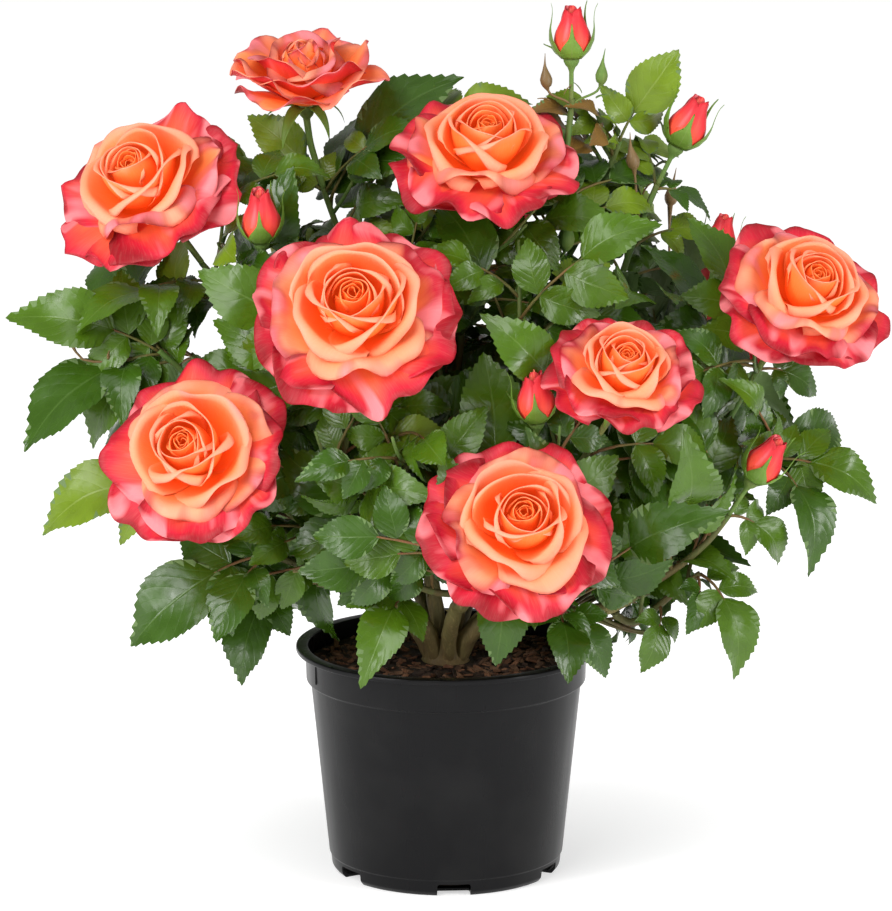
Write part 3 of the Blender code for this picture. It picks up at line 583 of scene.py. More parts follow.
@dataclass(frozen=True)
class PetalSkin:
    """Petals from an orange heart with a painted glow over pale apricot lips to crimson, streaked margins.

    The petal map gives the place across and along a petal. The age attribute tells how far out in the
    flower it stands, the blush attribute how red it is, and the crest attribute how far a point is
    lifted by the petal's ruffles. The margins' pale pink is partly real streaks and partly a painted
    highlight on the crests, with painted shade in the hollows between them.
    """

    name: str = "petal_inner"
    body: tuple = ((0.95, 0.115, 0.009), (0.96, 0.19, 0.027), (0.95, 0.25, 0.08))
    heart: tuple = ((0.84, 0.075, 0.008), (0.95, 0.18, 0.024), (0.96, 0.27, 0.075))
    lip: tuple = (0.93, 0.305, 0.185)
    coral: tuple = (0.92, 0.1, 0.042)
    crimson: tuple = (0.56, 0.008, 0.03)
    wine: tuple = (0.26, 0.002, 0.009)
    rose: tuple = (0.91, 0.235, 0.255)
    bloom: tuple = (0.99, 0.55, 0.42)
    reddens: tuple = (0.8, 1.2)
    reddest: float = 1.0
    pale_streak_and_crest_highlight: float = 0.85

    def material(self) -> Material:
        """Builds the material."""
        tree = Tree(self.name)
        wide, long = tree.map_place("petal")
        age, blush, crest = tree.attribute("age"), tree.attribute("blush"), tree.attribute("crest")
        edge = tree.math("ABSOLUTE", tree.math("SUBTRACT", tree.math("MULTIPLY", wide, 2.0), 1.0))
        lane = tree.math("ADD", tree.math("MULTIPLY", age, 37.0), tree.math("MULTIPLY", blush, 11.0))
        lanes = {0: tree.math("MULTIPLY", wide, 3.2), 1: tree.math("MULTIPLY", long, 0.9), 2: lane}
        spot = tree.node("CombineXYZ", lanes)
        veil = tree.noise(spot.outputs[0], 1.1, 1.0)
        patch = tree.noise(spot.outputs[0], 1.6, 1.0)
        fine = tree.noise(spot.outputs[0], 14.0, 1.0, (3.0, 0.5, 1.0))
        margin = tree.math("MAXIMUM", long, tree.math("MULTIPLY", tree.math("POWER", edge, 3.0), 0.95))
        peach = tree.ramp(
            tree.math("ADD", long, tree.span(veil, 0.3, 0.7, -0.06, 0.06)),
            [(0.1, self.body[0]), (0.42, self.body[1]), (0.72, self.body[2]), (0.96, self.lip)],
        )
        rosy = tree.ramp(
            tree.math("ADD", margin, tree.span(veil, 0.3, 0.7, -0.16, 0.14)),
            [(0.1, self.body[1]), (0.42, self.coral), (0.74, self.crimson), (1.0, self.wine)],
        )
        # The crest term paints highlights on the ruffles' crests and shade in their hollows; the noise patch
        # gives real pale streaks.
        pale = tree.math("ADD", tree.span(patch, 0.47, 0.66, -0.25, 1.0), tree.math("MULTIPLY", crest, 0.45))
        pale = tree.math("MULTIPLY", tree.span(pale, 0.15, 1.0), tree.span(long, 0.3, 0.7))
        rosy = tree.mix(tree.math("MULTIPLY", pale, self.pale_streak_and_crest_highlight), rosy, self.rose)
        heart = tree.ramp(long, list(zip((0.4, 0.78, 0.97), self.heart)))
        colour = tree.mix(tree.span(age, 0.12, 0.26), heart, peach)
        reach = tree.math("MULTIPLY", margin, 0.85)
        reach = tree.math("ADD", reach, tree.span(patch, 0.35, 0.65, -0.22, 0.22))
        redness = tree.math("MAXIMUM", blush, tree.span(age, *self.reddens, 0.0, self.reddest))
        reach = tree.math("ADD", reach, tree.math("MULTIPLY", tree.math("SUBTRACT", redness, 1.0), 1.15))
        colour = tree.mix(tree.span(reach, -0.02, 0.34), colour, rosy)
        tree.set(
            Base_Color=tree.mix(tree.span(fine, 0.45, 0.75, 0.0, 0.05), colour, self.bloom),
            Roughness=0.52,
            Specular_IOR_Level=0.28,
            # The emission is a painted glow: the petals give off light of their own, orange or red, strongest
            # near their roots.
            Emission_Color=tree.mix(tree.span(blush, 0.2, 0.8), (1.0, 0.19, 0.016), (0.8, 0.03, 0.03)),
            Emission_Strength=tree.span(margin, 0.15, 1.0, 0.16, 0.02),
        )
        tree.bump(tree.math("ADD", fine, tree.math("MULTIPLY", patch, 1.5)), 0.16, 0.0006)
        return tree.material


@dataclass(frozen=True)
class PetalBack(PetalSkin):
    """The outer faces of the petals: a deeper, plainer orange, and a paler red towards the rim."""

    name: str = "petal_outer"
    body: tuple = ((0.95, 0.18, 0.022), (0.95, 0.15, 0.014), (0.95, 0.2, 0.04))
    lip: tuple = (0.94, 0.35, 0.21)
    coral: tuple = (0.88, 0.08, 0.036)
    crimson: tuple = (0.7, 0.022, 0.034)
    wine: tuple = (0.44, 0.005, 0.016)
    reddens: tuple = (0.42, 0.62)
    reddest: float = 1.35
    pale_streak_and_crest_highlight: float = 0.4


@dataclass(frozen=True)
class StudioPaper:
    """A pale sheet under the plant that glows evenly, but less towards the pot: a painted contact shadow."""

    name: str = "studio_paper"
    colour: tuple = (0.6, 0.6, 0.6)
    painted_shadow_pool: tuple = (0.08, 0.26, 0.54, 0.76)

    def material(self) -> Material:
        """Builds the material."""
        tree = Tree(self.name)
        place = tree.object_place()
        grain = tree.noise(place, 300.0, 2.0)
        from_pot = tree.node("VectorMath", {0: place}, operation="LENGTH").outputs["Value"]
        tree.set(
            Base_Color=self.colour,
            Roughness=tree.span(grain, 0.3, 0.7, 0.75, 0.85),
            Specular_IOR_Level=0.1,
            Emission_Color=(1.0, 1.0, 1.0),
            # The emission dims towards the pot, a painted contact shadow round its foot.
            Emission_Strength=tree.span(from_pot, *self.painted_shadow_pool),
        )
        return tree.material


class Tone(Enum):
    """The tones that leaves come in, as their upper skins."""

    DEEP = LeafSkin("leaf_deep", (0.028, 0.072, 0.003), (0.06, 0.124, 0.016), 0.25)
    MID = LeafSkin("leaf_mid", (0.052, 0.112, 0.004), (0.098, 0.174, 0.026), 0.26)
    FRESH = LeafSkin("leaf_fresh", (0.12, 0.19, 0.007), (0.19, 0.265, 0.04), 0.32)
    FLUSHED = LeafSkin("leaf_flushed", (0.16, 0.085, 0.018), (0.24, 0.12, 0.04), 0.34)


UNDERSIDE = LeafSkin("leaf_underside", (0.1, 0.165, 0.05), (0.16, 0.22, 0.09), 0.6, 0.35)
SEPAL_SKIN = LeafSkin("sepal", (0.11, 0.205, 0.022), (0.17, 0.24, 0.06), 0.5, 0.15)
YOUNG_SKIN = LeafSkin("young_skin", (0.16, 0.1, 0.038), (0.21, 0.13, 0.05), 0.48, 0.15)
STEM_SKIN = Bark("stem_skin", (0.1, 0.07, 0.03), (0.085, 0.165, 0.032), (0.15, 0.06, 0.03), 0.14, 0.3, 0.25)
STALK_SKIN = Bark("stalk_skin", (0.11, 0.15, 0.035), (0.11, 0.2, 0.04), (0.16, 0.1, 0.035), 0.1, 0.3, 0.2)
RACHIS_SKIN = Bark(
    "rachis_skin", (0.15, 0.08, 0.03), (0.11, 0.13, 0.03), (0.21, 0.06, 0.03), 0.15, 0.45, 0.15
)
CANE_SKIN = Bark("cane_skin", (0.19, 0.14, 0.058), (0.13, 0.16, 0.04), (0.13, 0.062, 0.028), 0.145, 0.25, 0.9)


# ---- Pot, compost and bud union ------------------------


@dataclass
class Pot:
    """The nursery pot: a tapering body with drainage notches, a collar and a rounded lip."""

    height: float = 0.1453
    lip_radius: float = 0.095
    lip_height: float = 0.0036
    collar_radius: float = 0.0885
    collar_height: float = 0.0228
    body_top_radius: float = 0.0856
    base_radius: float = 0.0732
    wall: float = 0.0016
    sides: int = 144
    notches: int = 6
    notch_width: float = 0.021
    notch_height: float = 0.008
    notch_depth: float = 0.016
    first_notch: float = radians(-86.0)
    ribs: tuple = (203.0, 23.0)

    def body_radius(self, height: float) -> float:
        """The outer radius of the tapering body at a height."""
        share = height / (self.height - self.collar_height)
        return self.base_radius + (self.body_top_radius - self.base_radius) * share

    def profile(self) -> Profile:
        """The wall from the centre of the underside round to the centre of the inner floor."""
        collar = self.height - self.collar_height
        lip = self.height - self.lip_height
        foot, step = 0.003, 0.0102
        wall = self.wall
        outside = [
            (0.0, 0.0),
            (self.base_radius - foot, 0.0),
            (self.body_radius(foot) - 0.0008, foot),
            (self.body_radius(step) - 0.0008, step),
            (self.body_radius(step) + 0.0001, step + 0.0008),
            (self.body_top_radius, collar - 0.0012),
            (self.body_top_radius + 0.0003, collar),
            (self.collar_radius, collar + 0.0008),
            (self.collar_radius + 0.0005, lip - 0.0002),
            (self.lip_radius, lip + 0.0004),
            (self.lip_radius, self.height),
        ]
        inside = [
            (self.collar_radius + 0.0005 - wall, self.height),
            (self.collar_radius - wall, collar + 0.0008),
            (self.body_top_radius - wall, collar - 0.003),
            (self.body_radius(foot) - wall, foot + wall),
            (self.base_radius - foot - wall, wall),
            (0.0, wall),
        ]
        return rounded(outside + inside, 0.0009)

    def cut_notches(self, bm: BMesh) -> None:
        """Takes the drainage notches out of the corner of the wall and floor."""
        shell = linked("pot_shell", mesh_of(bm, "pot_shell"))
        cutting = bmesh.new()
        for index in range(self.notches):
            turn = Matrix.Rotation(self.first_notch + index * 2.0 * pi / self.notches, 4, "Z")
            place = Matrix.Translation((self.base_radius + 0.002, 0.0, 0.0))
            size = Matrix.Diagonal((self.notch_depth * 2.0, self.notch_width, self.notch_height * 2.0, 1.0))
            bmesh.ops.create_cube(cutting, size=1.0, matrix=turn @ place @ size)
        bevelled(cutting, 0.0016, 3)
        cutter = linked("notch_cutter", mesh_of(cutting, "notch_cutter"))
        cut = shell.modifiers.new("notches", "BOOLEAN")
        cut.operation = "DIFFERENCE"
        cut.solver = "EXACT"
        cut.object = cutter
        graph = bpy.context.evaluated_depsgraph_get()
        self.shell = bpy.data.meshes.new_from_object(shell.evaluated_get(graph))
        bpy.data.objects.remove(shell, do_unlink=True)
        bpy.data.objects.remove(cutter, do_unlink=True)

    def rib(self, azimuth: float) -> Mesh:
        """One upright mould rib on the collar."""
        bm = bmesh.new()
        out = heading(azimuth, 0.0)
        middle = self.height - self.collar_height * 0.52
        place = facing(out * (self.collar_radius + 0.0001) + UP * middle, out)
        size = Matrix.Diagonal((0.0016, self.collar_height * 0.55, 0.0016, 1.0))
        bmesh.ops.create_cube(bm, size=1.0, matrix=place @ size)
        bevelled(bm, 0.0004, 2)
        return mesh_of(bm, "rib")

    def build(self) -> Object:
        """Builds and dresses the pot."""
        self.cut_notches(turned(self.profile(), self.sides))
        parts = [self.shell] + [self.rib(azimuth) for azimuth in self.ribs]
        mesh = joined(parts, "nursery_pot", SatinPlastic().material())
        mesh.set_sharp_from_angle(angle=radians(38.0))
        return piece_of(mesh, "nursery_pot", ["pot"])


@dataclass
class Soil:
    """The compost in the pot, with a layer of loose bark chips on top."""

    pot: Pot
    level: float = SOIL_TOP
    bump: float = 0.0022
    flat_radius: float = 0.0185
    chips: int = 620
    rings: int = 26

    def surface(self) -> BMesh:
        """The body of compost, uneven on top and clear of the pot's wall and notches."""
        pot = self.pot
        collar = pot.height - pot.collar_height
        inside = pot.wall + 2.0 * GAP
        edge = pot.collar_radius - inside
        profile = [
            (0.0, pot.wall + GAP),
            (pot.base_radius - pot.notch_depth - 0.002, pot.wall + GAP),
            (pot.body_radius(pot.notch_height) - inside - 0.003, pot.notch_height + 0.003),
            (pot.body_top_radius - inside - 0.0006, collar - 0.004),
            (edge - 0.0004, collar + 0.006),
        ]
        profile += [(edge * (1.0 - ring / self.rings), self.level) for ring in range(self.rings + 1)]
        bm = turned(profile, 96)
        for vert in bm.verts:
            radius = vert.co.xy.length
            if vert.co.z > self.level - 1e-5:
                away = min(1.0, max(0.0, (radius - self.flat_radius) / 0.012))
                lumps = noise.noise(vert.co * 70.0) + 0.6 * noise.noise(vert.co * 210.0)
                vert.co.z += self.bump * away * lumps
        return bm

    def chip(self, rng: random.Random) -> Mesh:
        """One splinter of bark, lying on the surface."""
        bm = bmesh.new()
        bmesh.ops.create_cube(bm, size=1.0)
        for vert in bm.verts:
            vert.co += jitter(rng, 0.22)
        bevelled(bm, 0.14, 1)
        reach = self.flat_radius + 0.001
        radius = sqrt(rng.uniform(reach**2, (self.pot.collar_radius - 0.0062) ** 2))
        angle = rng.uniform(0.0, 2.0 * pi)
        long = rng.uniform(0.0028, 0.0095)
        size = Matrix.Diagonal((long, long * rng.uniform(0.25, 0.55), rng.uniform(0.0008, 0.0022), 1.0))
        lean = Matrix.Rotation(rng.uniform(-0.5, 0.5), 4, "X")
        lean = lean @ Matrix.Rotation(rng.uniform(-0.4, 0.4), 4, "Y")
        spin = Matrix.Rotation(rng.uniform(0.0, pi), 4, "Z")
        lift = self.level + rng.uniform(0.0002, 0.0016)
        place = Matrix.Translation((radius * cos(angle), radius * sin(angle), lift))
        bmesh.ops.transform(bm, matrix=place @ spin @ lean @ size, verts=bm.verts)
        mesh = mesh_of(bm, "chip")
        mesh.shade_flat()
        return mesh

    def build(self) -> list[Object]:
        """Builds and dresses the compost and its chips."""
        rng = random.Random(f"{SEED} chips")
        compost = Mulch("compost", (0.016, 0.009, 0.005), (0.07, 0.036, 0.018)).material()
        body = mesh_of(self.surface(), "compost", compost)
        finishes = [
            Mulch("chip_brown", (0.08, 0.04, 0.02), (0.26, 0.135, 0.07)).material(),
            Mulch("chip_dark", (0.02, 0.011, 0.007), (0.09, 0.048, 0.027)).material(),
            Mulch("chip_red", (0.11, 0.044, 0.02), (0.32, 0.15, 0.075)).material(),
        ]
        chips = []
        for index in range(self.chips):
            mesh = self.chip(rng)
            mesh.materials.append(finishes[index % len(finishes)])
            chips.append(mesh)
        return [
            piece_of(body, "compost", ["soil"]),
            piece_of(joined(chips, "bark_chips"), "bark_chips"),
        ]


@dataclass
class BudUnion:
    """The knobbly stump that all the canes spring from, flared at its foot."""

    soil: Soil
    radius: float = 0.0125
    flare: float = 0.015
    height: float = 0.017
    sides: int = 64

    def build(self) -> Object:
        """Builds and dresses the stump."""
        profile = [
            (0.0, 0.0),
            (self.flare, 0.0),
            (self.radius + 0.0008, 0.004),
            (self.radius, 0.0095),
            (self.radius * 0.88, 0.016),
            (self.radius * 0.55, self.height - 0.0015),
            (0.0, self.height),
        ]
        rows = refined([Vector((radius, 0.0, height)) for radius, height in profile[1:]], 7)
        bm = turned([profile[0]] + [(max(row.x, 0.0), row.z) for row in rows], self.sides)
        bmesh.ops.remove_doubles(bm, verts=bm.verts, dist=1e-5)
        for vert in bm.verts:
            if vert.co.z > 1e-5:
                knobs = noise.noise(vert.co * 90.0) + 0.5 * noise.noise(vert.co * 240.0)
                furrow = noise.noise(Vector((vert.co.x * 420.0, vert.co.y * 420.0, vert.co.z * 60.0)))
                vert.co.xy *= 1.0 + 0.1 * knobs + 0.035 * furrow
            vert.co.z += self.soil.level + GAP
        mesh = mesh_of(bm, "union_bark", CANE_SKIN.material())
        return piece_of(mesh, "union_bark", ["bud_union"])


# ---- Canes and stems ------------------------


@dataclass(frozen=True)
class Cane:
    """One limb: the direction in degrees in which it leaves the bud union, its tip and its radii."""

    name: str
    azimuth: float
    elevation: float
    tip: tuple
    foot_radius: float
    tip_radius: float

    steps = 8
    wander = 0.003
    heart = 0.006
    foot_distance = 0.0225
    root_share = 0.46
    root_level = 0.1335
    sides = 16
    per_span = 9
    thorns = 13
    thorn_length = 0.004

    def radius(self, along: float) -> float:
        """The radius at a fraction of the length: it thins fastest near its foot."""
        return self.foot_radius + (self.tip_radius - self.foot_radius) * along**0.7

    def line(self) -> Points:
        """The fixed points of the limb, from just off the bud union to its tip."""
        leaving = heading(self.azimuth, self.elevation)
        foot = Vector((0.0, 0.0, SOIL_TOP + self.heart)) + leaving * self.foot_distance
        tip = Vector(self.tip)
        arriving = ((tip - foot).normalized() + UP * 0.7).normalized()
        points = arch(foot, (leaving + UP * 0.45).normalized(), tip, arriving, self.steps)
        rng = random.Random(f"{SEED} {self.name}")
        for point in points[2:-1]:
            point += jitter(rng, self.wander)
        return points

    def root(self) -> Points:
        """The fixed points that carry the limb's line on down into the compost."""
        line = self.line()
        leaving = (line[1] - line[0]).normalized()
        level = Vector((leaving.x, leaving.y, 0.0)).normalized()
        start = level * line[0].xy.length * self.root_share + UP * self.root_level
        return arch(start, (UP + level * 0.7).normalized(), line[0], leaving, 4)[:-1]

    def bark(self) -> Mesh:
        """The limb with furrowed bark, swollen where leaves once grew."""
        root = self.root()
        points = refined(root + self.line(), self.per_span)
        first = len(root) * self.per_span
        last = len(points) - 1
        radii = []
        for index in range(last + 1):
            along = max(0.0, (index - first) / (last - first))
            ring = max(0.0, 1.0 - abs((along * 9.0) % 1.0 - 0.5) / 0.1)
            deep = max(0.0, 1.0 - index / first)
            radii.append(self.radius(along) * (1.0 + 0.07 * ring - 0.34 * deep))
        bm = tube(points, radii, self.sides)
        bm.normal_update()
        for vert in bm.verts:
            place = vert.co
            furrow = noise.noise(Vector((place.x * 700.0, place.y * 700.0, place.z * 90.0)))
            knob = noise.noise(place * 170.0)
            vert.co = place + vert.normal * (0.00022 * furrow + 0.0003 * knob)
        return mesh_of(bm, "bark")

    def build(self, skin: Material) -> Object:
        """Builds the limb with its prickles and dresses it."""
        points = refined(self.line(), self.per_span)
        prickles = Prickles(self.name, self.thorns, self.thorn_length)
        meshes = [self.bark()] + prickles.meshes(points, self.radius)
        mesh = joined(meshes, f"{self.name}_bark", skin)
        return piece_of(mesh, f"{self.name}_bark", [self.name])


@dataclass
class Prickles:
    """The thorns along one limb or stem, a little hooked towards its foot."""

    name: str
    count: int
    length: float

    def one(self, root: Vector, out: Vector, direction: Vector, length: float) -> Mesh:
        """One thorn with its foot sunk into the bark.

        Args:
            root: the place on the bark.
            out: the way it points.
            direction: the limb's direction there.
            length: the thorn's length.

        Returns:
            Its mesh, in place.
        """
        bm = bmesh.new()
        bmesh.ops.create_cone(
            bm, cap_ends=True, segments=6, radius1=0.5, radius2=0.06, depth=1.0,
            matrix=Matrix.Translation((0.0, 0.0, 0.5)),
        )
        flanks = [edge for edge in bm.edges if abs(edge.verts[0].co.z - edge.verts[1].co.z) > 0.5]
        bmesh.ops.subdivide_edges(bm, edges=flanks, cuts=2)
        side = direction.cross(out).normalized()
        for vert in bm.verts:
            unit = vert.co.copy()
            hook = 0.34 * unit.z * unit.z
            along = unit.x * 0.62 * (1.0 - 0.5 * unit.z) - hook
            vert.co = root + length * (direction * along + side * unit.y * 0.3 + out * (unit.z * 0.95 - 0.15))
        bmesh.ops.recalc_face_normals(bm, faces=bm.faces)
        return mesh_of(bm, "thorn")

    def meshes(self, points: Points, radius_at: Callable[[float], float]) -> list[Mesh]:
        """All the thorns of a limb.

        Args:
            points: the limb's line.
            radius_at: gives its radius at a fraction of its length.

        Returns:
            Their meshes.
        """
        rng = random.Random(f"{SEED} {self.name} thorns")
        made = []
        for index in range(self.count):
            along = 0.08 + 0.84 * (index + rng.uniform(0.1, 0.9)) / self.count
            point, direction = point_at(points, along)
            angle = rng.uniform(0.0, 2.0 * pi)
            out = across(direction, Vector((cos(angle), sin(angle), 0.2)))
            root = point + out * radius_at(along) * 0.92
            made.append(self.one(root, out, direction, self.length * rng.uniform(0.65, 1.1)))
        return made


@dataclass(frozen=True)
class Shoot:
    """A leafy stem: the cane that bears it, how far along, its tip, and the tips its outer leaves reach."""

    name: str
    cane: str
    along: float
    tip: Optional[tuple] = None
    leaves: int = 3
    turn: float = 0.0
    reach: tuple = ()


CANES = {
    cane.name: cane
    for cane in (
        Cane("cane_left", 178, 40, (-0.072, -0.02, 0.287), 0.0062, 0.0042),
        Cane("cane_front_left", 229, 42, (-0.065, -0.078, 0.243), 0.0056, 0.0038),
        Cane("cane_front", 278, 44, (0.027, -0.08, 0.218), 0.0052, 0.0036),
        Cane("cane_low_right", 325, 38, (0.118, -0.05, 0.19), 0.0058, 0.004),
        Cane("cane_right", 8, 38, (0.15, 0.0, 0.25), 0.0062, 0.0046),
        Cane("cane_back_right", 62, 40, (0.074, 0.11, 0.245), 0.0056, 0.004),
        Cane("cane_back_left", 120, 40, (-0.063, 0.11, 0.245), 0.0056, 0.004),
        Cane("cane_centre", 170, 76, (-0.022, 0.022, 0.296), 0.0052, 0.004),
        Cane("cane_tall", 20, 72, (0.08, 0.036, 0.3), 0.0052, 0.004),
    )
}

SHOOTS = {
    shoot.name: shoot
    for shoot in (
        Shoot("shoot_upper_left", "cane_left", 1.0, leaves=4, turn=40),
        Shoot(
            "shoot_top_left", "cane_centre", 1.0, leaves=4, turn=200,
            reach=((-0.125, 0.045, 0.478), (0.006, 0.045, 0.507, 0.8)),
        ),
        Shoot("shoot_top_middle", "cane_centre", 0.93, turn=90),
        Shoot("shoot_front_middle", "cane_front_left", 1.0, turn=10),
        Shoot("shoot_front_left", "cane_front_left", 0.9, turn=100),
        Shoot("shoot_front_right", "cane_front", 1.0, turn=300),
        Shoot("shoot_front_low", "cane_front", 0.86, turn=200, reach=((0.031, -0.142, 0.166),)),
        Shoot("shoot_far_right", "cane_right", 1.0, turn=120, reach=((0.237, 0.02, 0.302),)),
        Shoot("shoot_top_bud", "cane_tall", 0.82, turn=70, reach=((0.034, 0.045, 0.504),)),
        Shoot(
            "shoot_right_bud", "cane_tall", 1.0, turn=330,
            reach=((0.191, 0.04, 0.427), (0.17, 0.05, 0.41)),
        ),
        Shoot("shoot_low_bud", "cane_low_right", 1.0, turn=0, reach=((0.216, -0.04, 0.206),)),
        Shoot(
            "shoot_left", "cane_left", 0.88, (-0.178, -0.024, 0.338), 1, 150,
            ((-0.272, -0.03, 0.366), (-0.268, -0.05, 0.287), (-0.221, 0.012, 0.372),
             (-0.227, -0.03, 0.281, 0.8), (-0.205, 0.0, 0.344, 0.55)),
        ),
        Shoot(
            "shoot_low_left", "cane_front_left", 0.8, (-0.16, -0.058, 0.262), 1, 60,
            ((-0.255, -0.06, 0.237), (-0.224, -0.08, 0.225), (-0.239, -0.03, 0.269, 0.85)),
        ),
        Shoot(
            "shoot_bottom_left", "cane_front_left", 0.66, (-0.11, -0.08, 0.222), 1, 250,
            ((-0.198, -0.085, 0.166), (-0.143, -0.11, 0.175), (-0.145, -0.07, 0.19, 0.55)),
        ),
        Shoot(
            "shoot_rim_left", "cane_left", 0.62, (-0.105, -0.03, 0.2), 2, 190,
            ((-0.13, -0.06, 0.134), (-0.076, -0.03, 0.152, 0.3), (-0.094, 0.006, 0.155, 0.6)),
        ),
        Shoot(
            "shoot_rim_front", "cane_front", 0.62, (-0.02, -0.092, 0.205), 1, 200,
            ((-0.051, -0.14, 0.158),),
        ),
        Shoot(
            "shoot_rim_right", "cane_low_right", 0.6, (0.07, -0.078, 0.19), 1, 280,
            ((0.076, -0.128, 0.154), (0.102, -0.09, 0.146)),
        ),
        Shoot(
            "shoot_right", "cane_right", 0.88, (0.205, -0.016, 0.268), 1, 20,
            ((0.274, -0.02, 0.245), (0.236, -0.05, 0.206), (0.255, 0.03, 0.285)),
        ),
        Shoot(
            "shoot_bottom_right", "cane_low_right", 0.86, (0.158, -0.052, 0.203), 1, 300,
            ((0.187, -0.072, 0.142), (0.151, -0.08, 0.168), (0.123, -0.07, 0.143, 0.55)),
        ),
        Shoot(
            "shoot_top_leaves", "cane_tall", 0.94, (0.108, 0.044, 0.458), 2, 0,
            ((0.146, 0.04, 0.518), (0.101, 0.03, 0.48)),
        ),
        Shoot(
            "shoot_upper_middle", "cane_centre", 0.86, (-0.03, 0.03, 0.445), 2, 230,
            ((-0.07, 0.05, 0.44), (0.012, 0.05, 0.48)),
        ),
        Shoot("shoot_middle", "cane_front_left", 0.94, (-0.022, -0.105, 0.285), 3, 290),
        Shoot("shoot_upper_front", "cane_tall", 0.7, (0.045, -0.06, 0.365), 3, 300),
        Shoot("shoot_back_top", "cane_back_right", 1.0, turn=100),
        Shoot("shoot_back_left", "cane_back_left", 1.0, turn=60),
        Shoot("shoot_back_right", "cane_back_right", 0.9, turn=30),
        Shoot(
            "shoot_left_back", "cane_back_left", 0.88, (-0.165, 0.11, 0.31), 1, 140,
            ((-0.228, 0.1, 0.29), (-0.19, 0.15, 0.25)),
        ),
        Shoot(
            "shoot_right_back", "cane_back_right", 0.78, (0.16, 0.11, 0.29), 1, 40,
            ((0.232, 0.1, 0.27), (0.19, 0.16, 0.235)),
        ),
        Shoot(
            "shoot_low_back_left", "cane_back_left", 0.66, (-0.08, 0.13, 0.205), 1, 90,
            ((-0.11, 0.19, 0.16), (-0.15, 0.12, 0.165), (-0.06, 0.04, 0.157, 0.15),
             (-0.033, 0.064, 0.155, 0.3), (-0.014, 0.084, 0.158, 0.5)),
        ),
        Shoot(
            "shoot_low_back_right", "cane_back_right", 0.62, (0.07, 0.13, 0.2), 1, 80,
            ((0.06, 0.2, 0.155), (0.135, 0.13, 0.16), (0.018, 0.088, 0.156, 0.15),
             (0.054, 0.07, 0.156, 0.35), (0.089, 0.06, 0.16, 0.6)),
        ),
    )
}


# ---- Roses ------------------------


@dataclass
class Whorls:
    """How the petals of a rose stand, from its heart, age 0, to its rim, age 1.

    A petal's middle line runs from its root to the place where its lip starts to roll, given here by
    its radius and height and by the angles in degrees over the horizontal at both ends. All lengths
    are over the flower's radius.
    """

    ages = np.array([0.0, 0.1, 0.2, 0.32, 0.44, 0.55, 0.65, 0.76, 0.88, 1.0])
    radii = np.array([0.026, 0.075, 0.14, 0.24, 0.36, 0.51, 0.6, 0.73, 0.88, 0.97])
    heights = np.array([0.56, 0.6, 0.64, 0.66, 0.62, 0.52, 0.44, 0.3, 0.17, 0.08])
    root_angles = np.array([80, 66, 40, 22, 14, 12, 12, 13, 16, 14], float)
    fold_angles = np.array([100, 102, 110, 107, 98, 70, 54, 34, 10, -6], float)
    half_widths = np.array([0.1, 0.22, 0.4, 0.52, 0.58, 0.58, 0.57, 0.56, 0.56, 0.55])
    flatness = np.array([0.0, 0.05, 0.1, 0.25, 0.5, 0.5, 0.5, 0.5, 0.55, 0.6])
    lips = np.array([0.005, 0.006, 0.009, 0.02, 0.05, 0.105, 0.145, 0.17, 0.15, 0.11])
    side_lips = np.array([0.01, 0.012, 0.018, 0.045, 0.11, 0.165, 0.185, 0.17, 0.105, 0.07])
    rolls = np.array([0.014, 0.014, 0.015, 0.022, 0.036, 0.058, 0.08, 0.13, 0.2, 0.26])

    def column(self, table: np.ndarray, age: float) -> float:
        """The value of one column of a table at an age."""
        return float(np.interp(age, self.ages, table))

    def middle_line(self, age: float, lean: float, cup: float) -> tuple[np.ndarray, ...]:
        """The middle line of a petal.

        Args:
            age: how far out in the flower the petal stands.
            lean: degrees by which this petal stands more upright than its age asks for.
            cup: how far the outer petals are still closed, from 0 to 1.

        Returns:
            Lengths from the root, radii, heights and angles along the line, over the flower's radius.
        """
        closed = cup * float(np.interp(age, (0.25, 0.55, 0.8, 1.0), (0.0, 0.75, 0.75, 0.36)))
        tilt = radians(lean) + closed * radians(52.0)
        root = (0.03 + 0.04 * age, 0.04 * (1.0 - age))
        start = radians(self.column(self.root_angles, age)) + tilt * 0.6
        end = radians(self.column(self.fold_angles, age)) + tilt
        way = (self.column(self.radii, age) - root[0], self.column(self.heights, age) - root[1])
        turned = (
            way[0] * cos(tilt) - way[1] * sin(tilt),
            way[0] * sin(tilt) + way[1] * cos(tilt),
        )
        stride = hypot(*turned) * 0.38
        tip = (max(root[0] + turned[0], 0.02), root[1] + turned[1])
        share = np.linspace(0.0, 1.0, 49)
        first = (root[0] + stride * cos(start), root[1] + stride * sin(start))
        second = (tip[0] - stride * cos(end), tip[1] - stride * sin(end))
        weights = ((1 - share) ** 3, 3 * share * (1 - share) ** 2, 3 * share**2 * (1 - share), share**3)
        line = [sum(w * p[axis] for w, p in zip(weights, (root, first, second, tip))) for axis in range(2)]
        radius = np.append(line[0], tip[0] + 0.5 * cos(end))
        height = np.append(line[1], tip[1] + 0.5 * sin(end))
        across_step, up_step = np.diff(radius), np.diff(height)
        reach = np.concatenate([[0.0], np.cumsum(np.hypot(across_step, up_step))])
        turn = np.append(np.arctan2(up_step, across_step), end)
        return reach, np.maximum(radius, 0.006), height, turn


@dataclass(frozen=True)
class PetalPlan:
    """One petal: its place round the flower in degrees, its age, its blush and its lips.

    The lips are factors on what its age gives: at its tip, on its left side and on its right.
    """

    azimuth: float
    age: float
    blush: float = 0.0
    lip: float = 1.0
    left: float = 1.0
    right: float = 1.0
    width: float = 1.0
    lean: float = 0.0


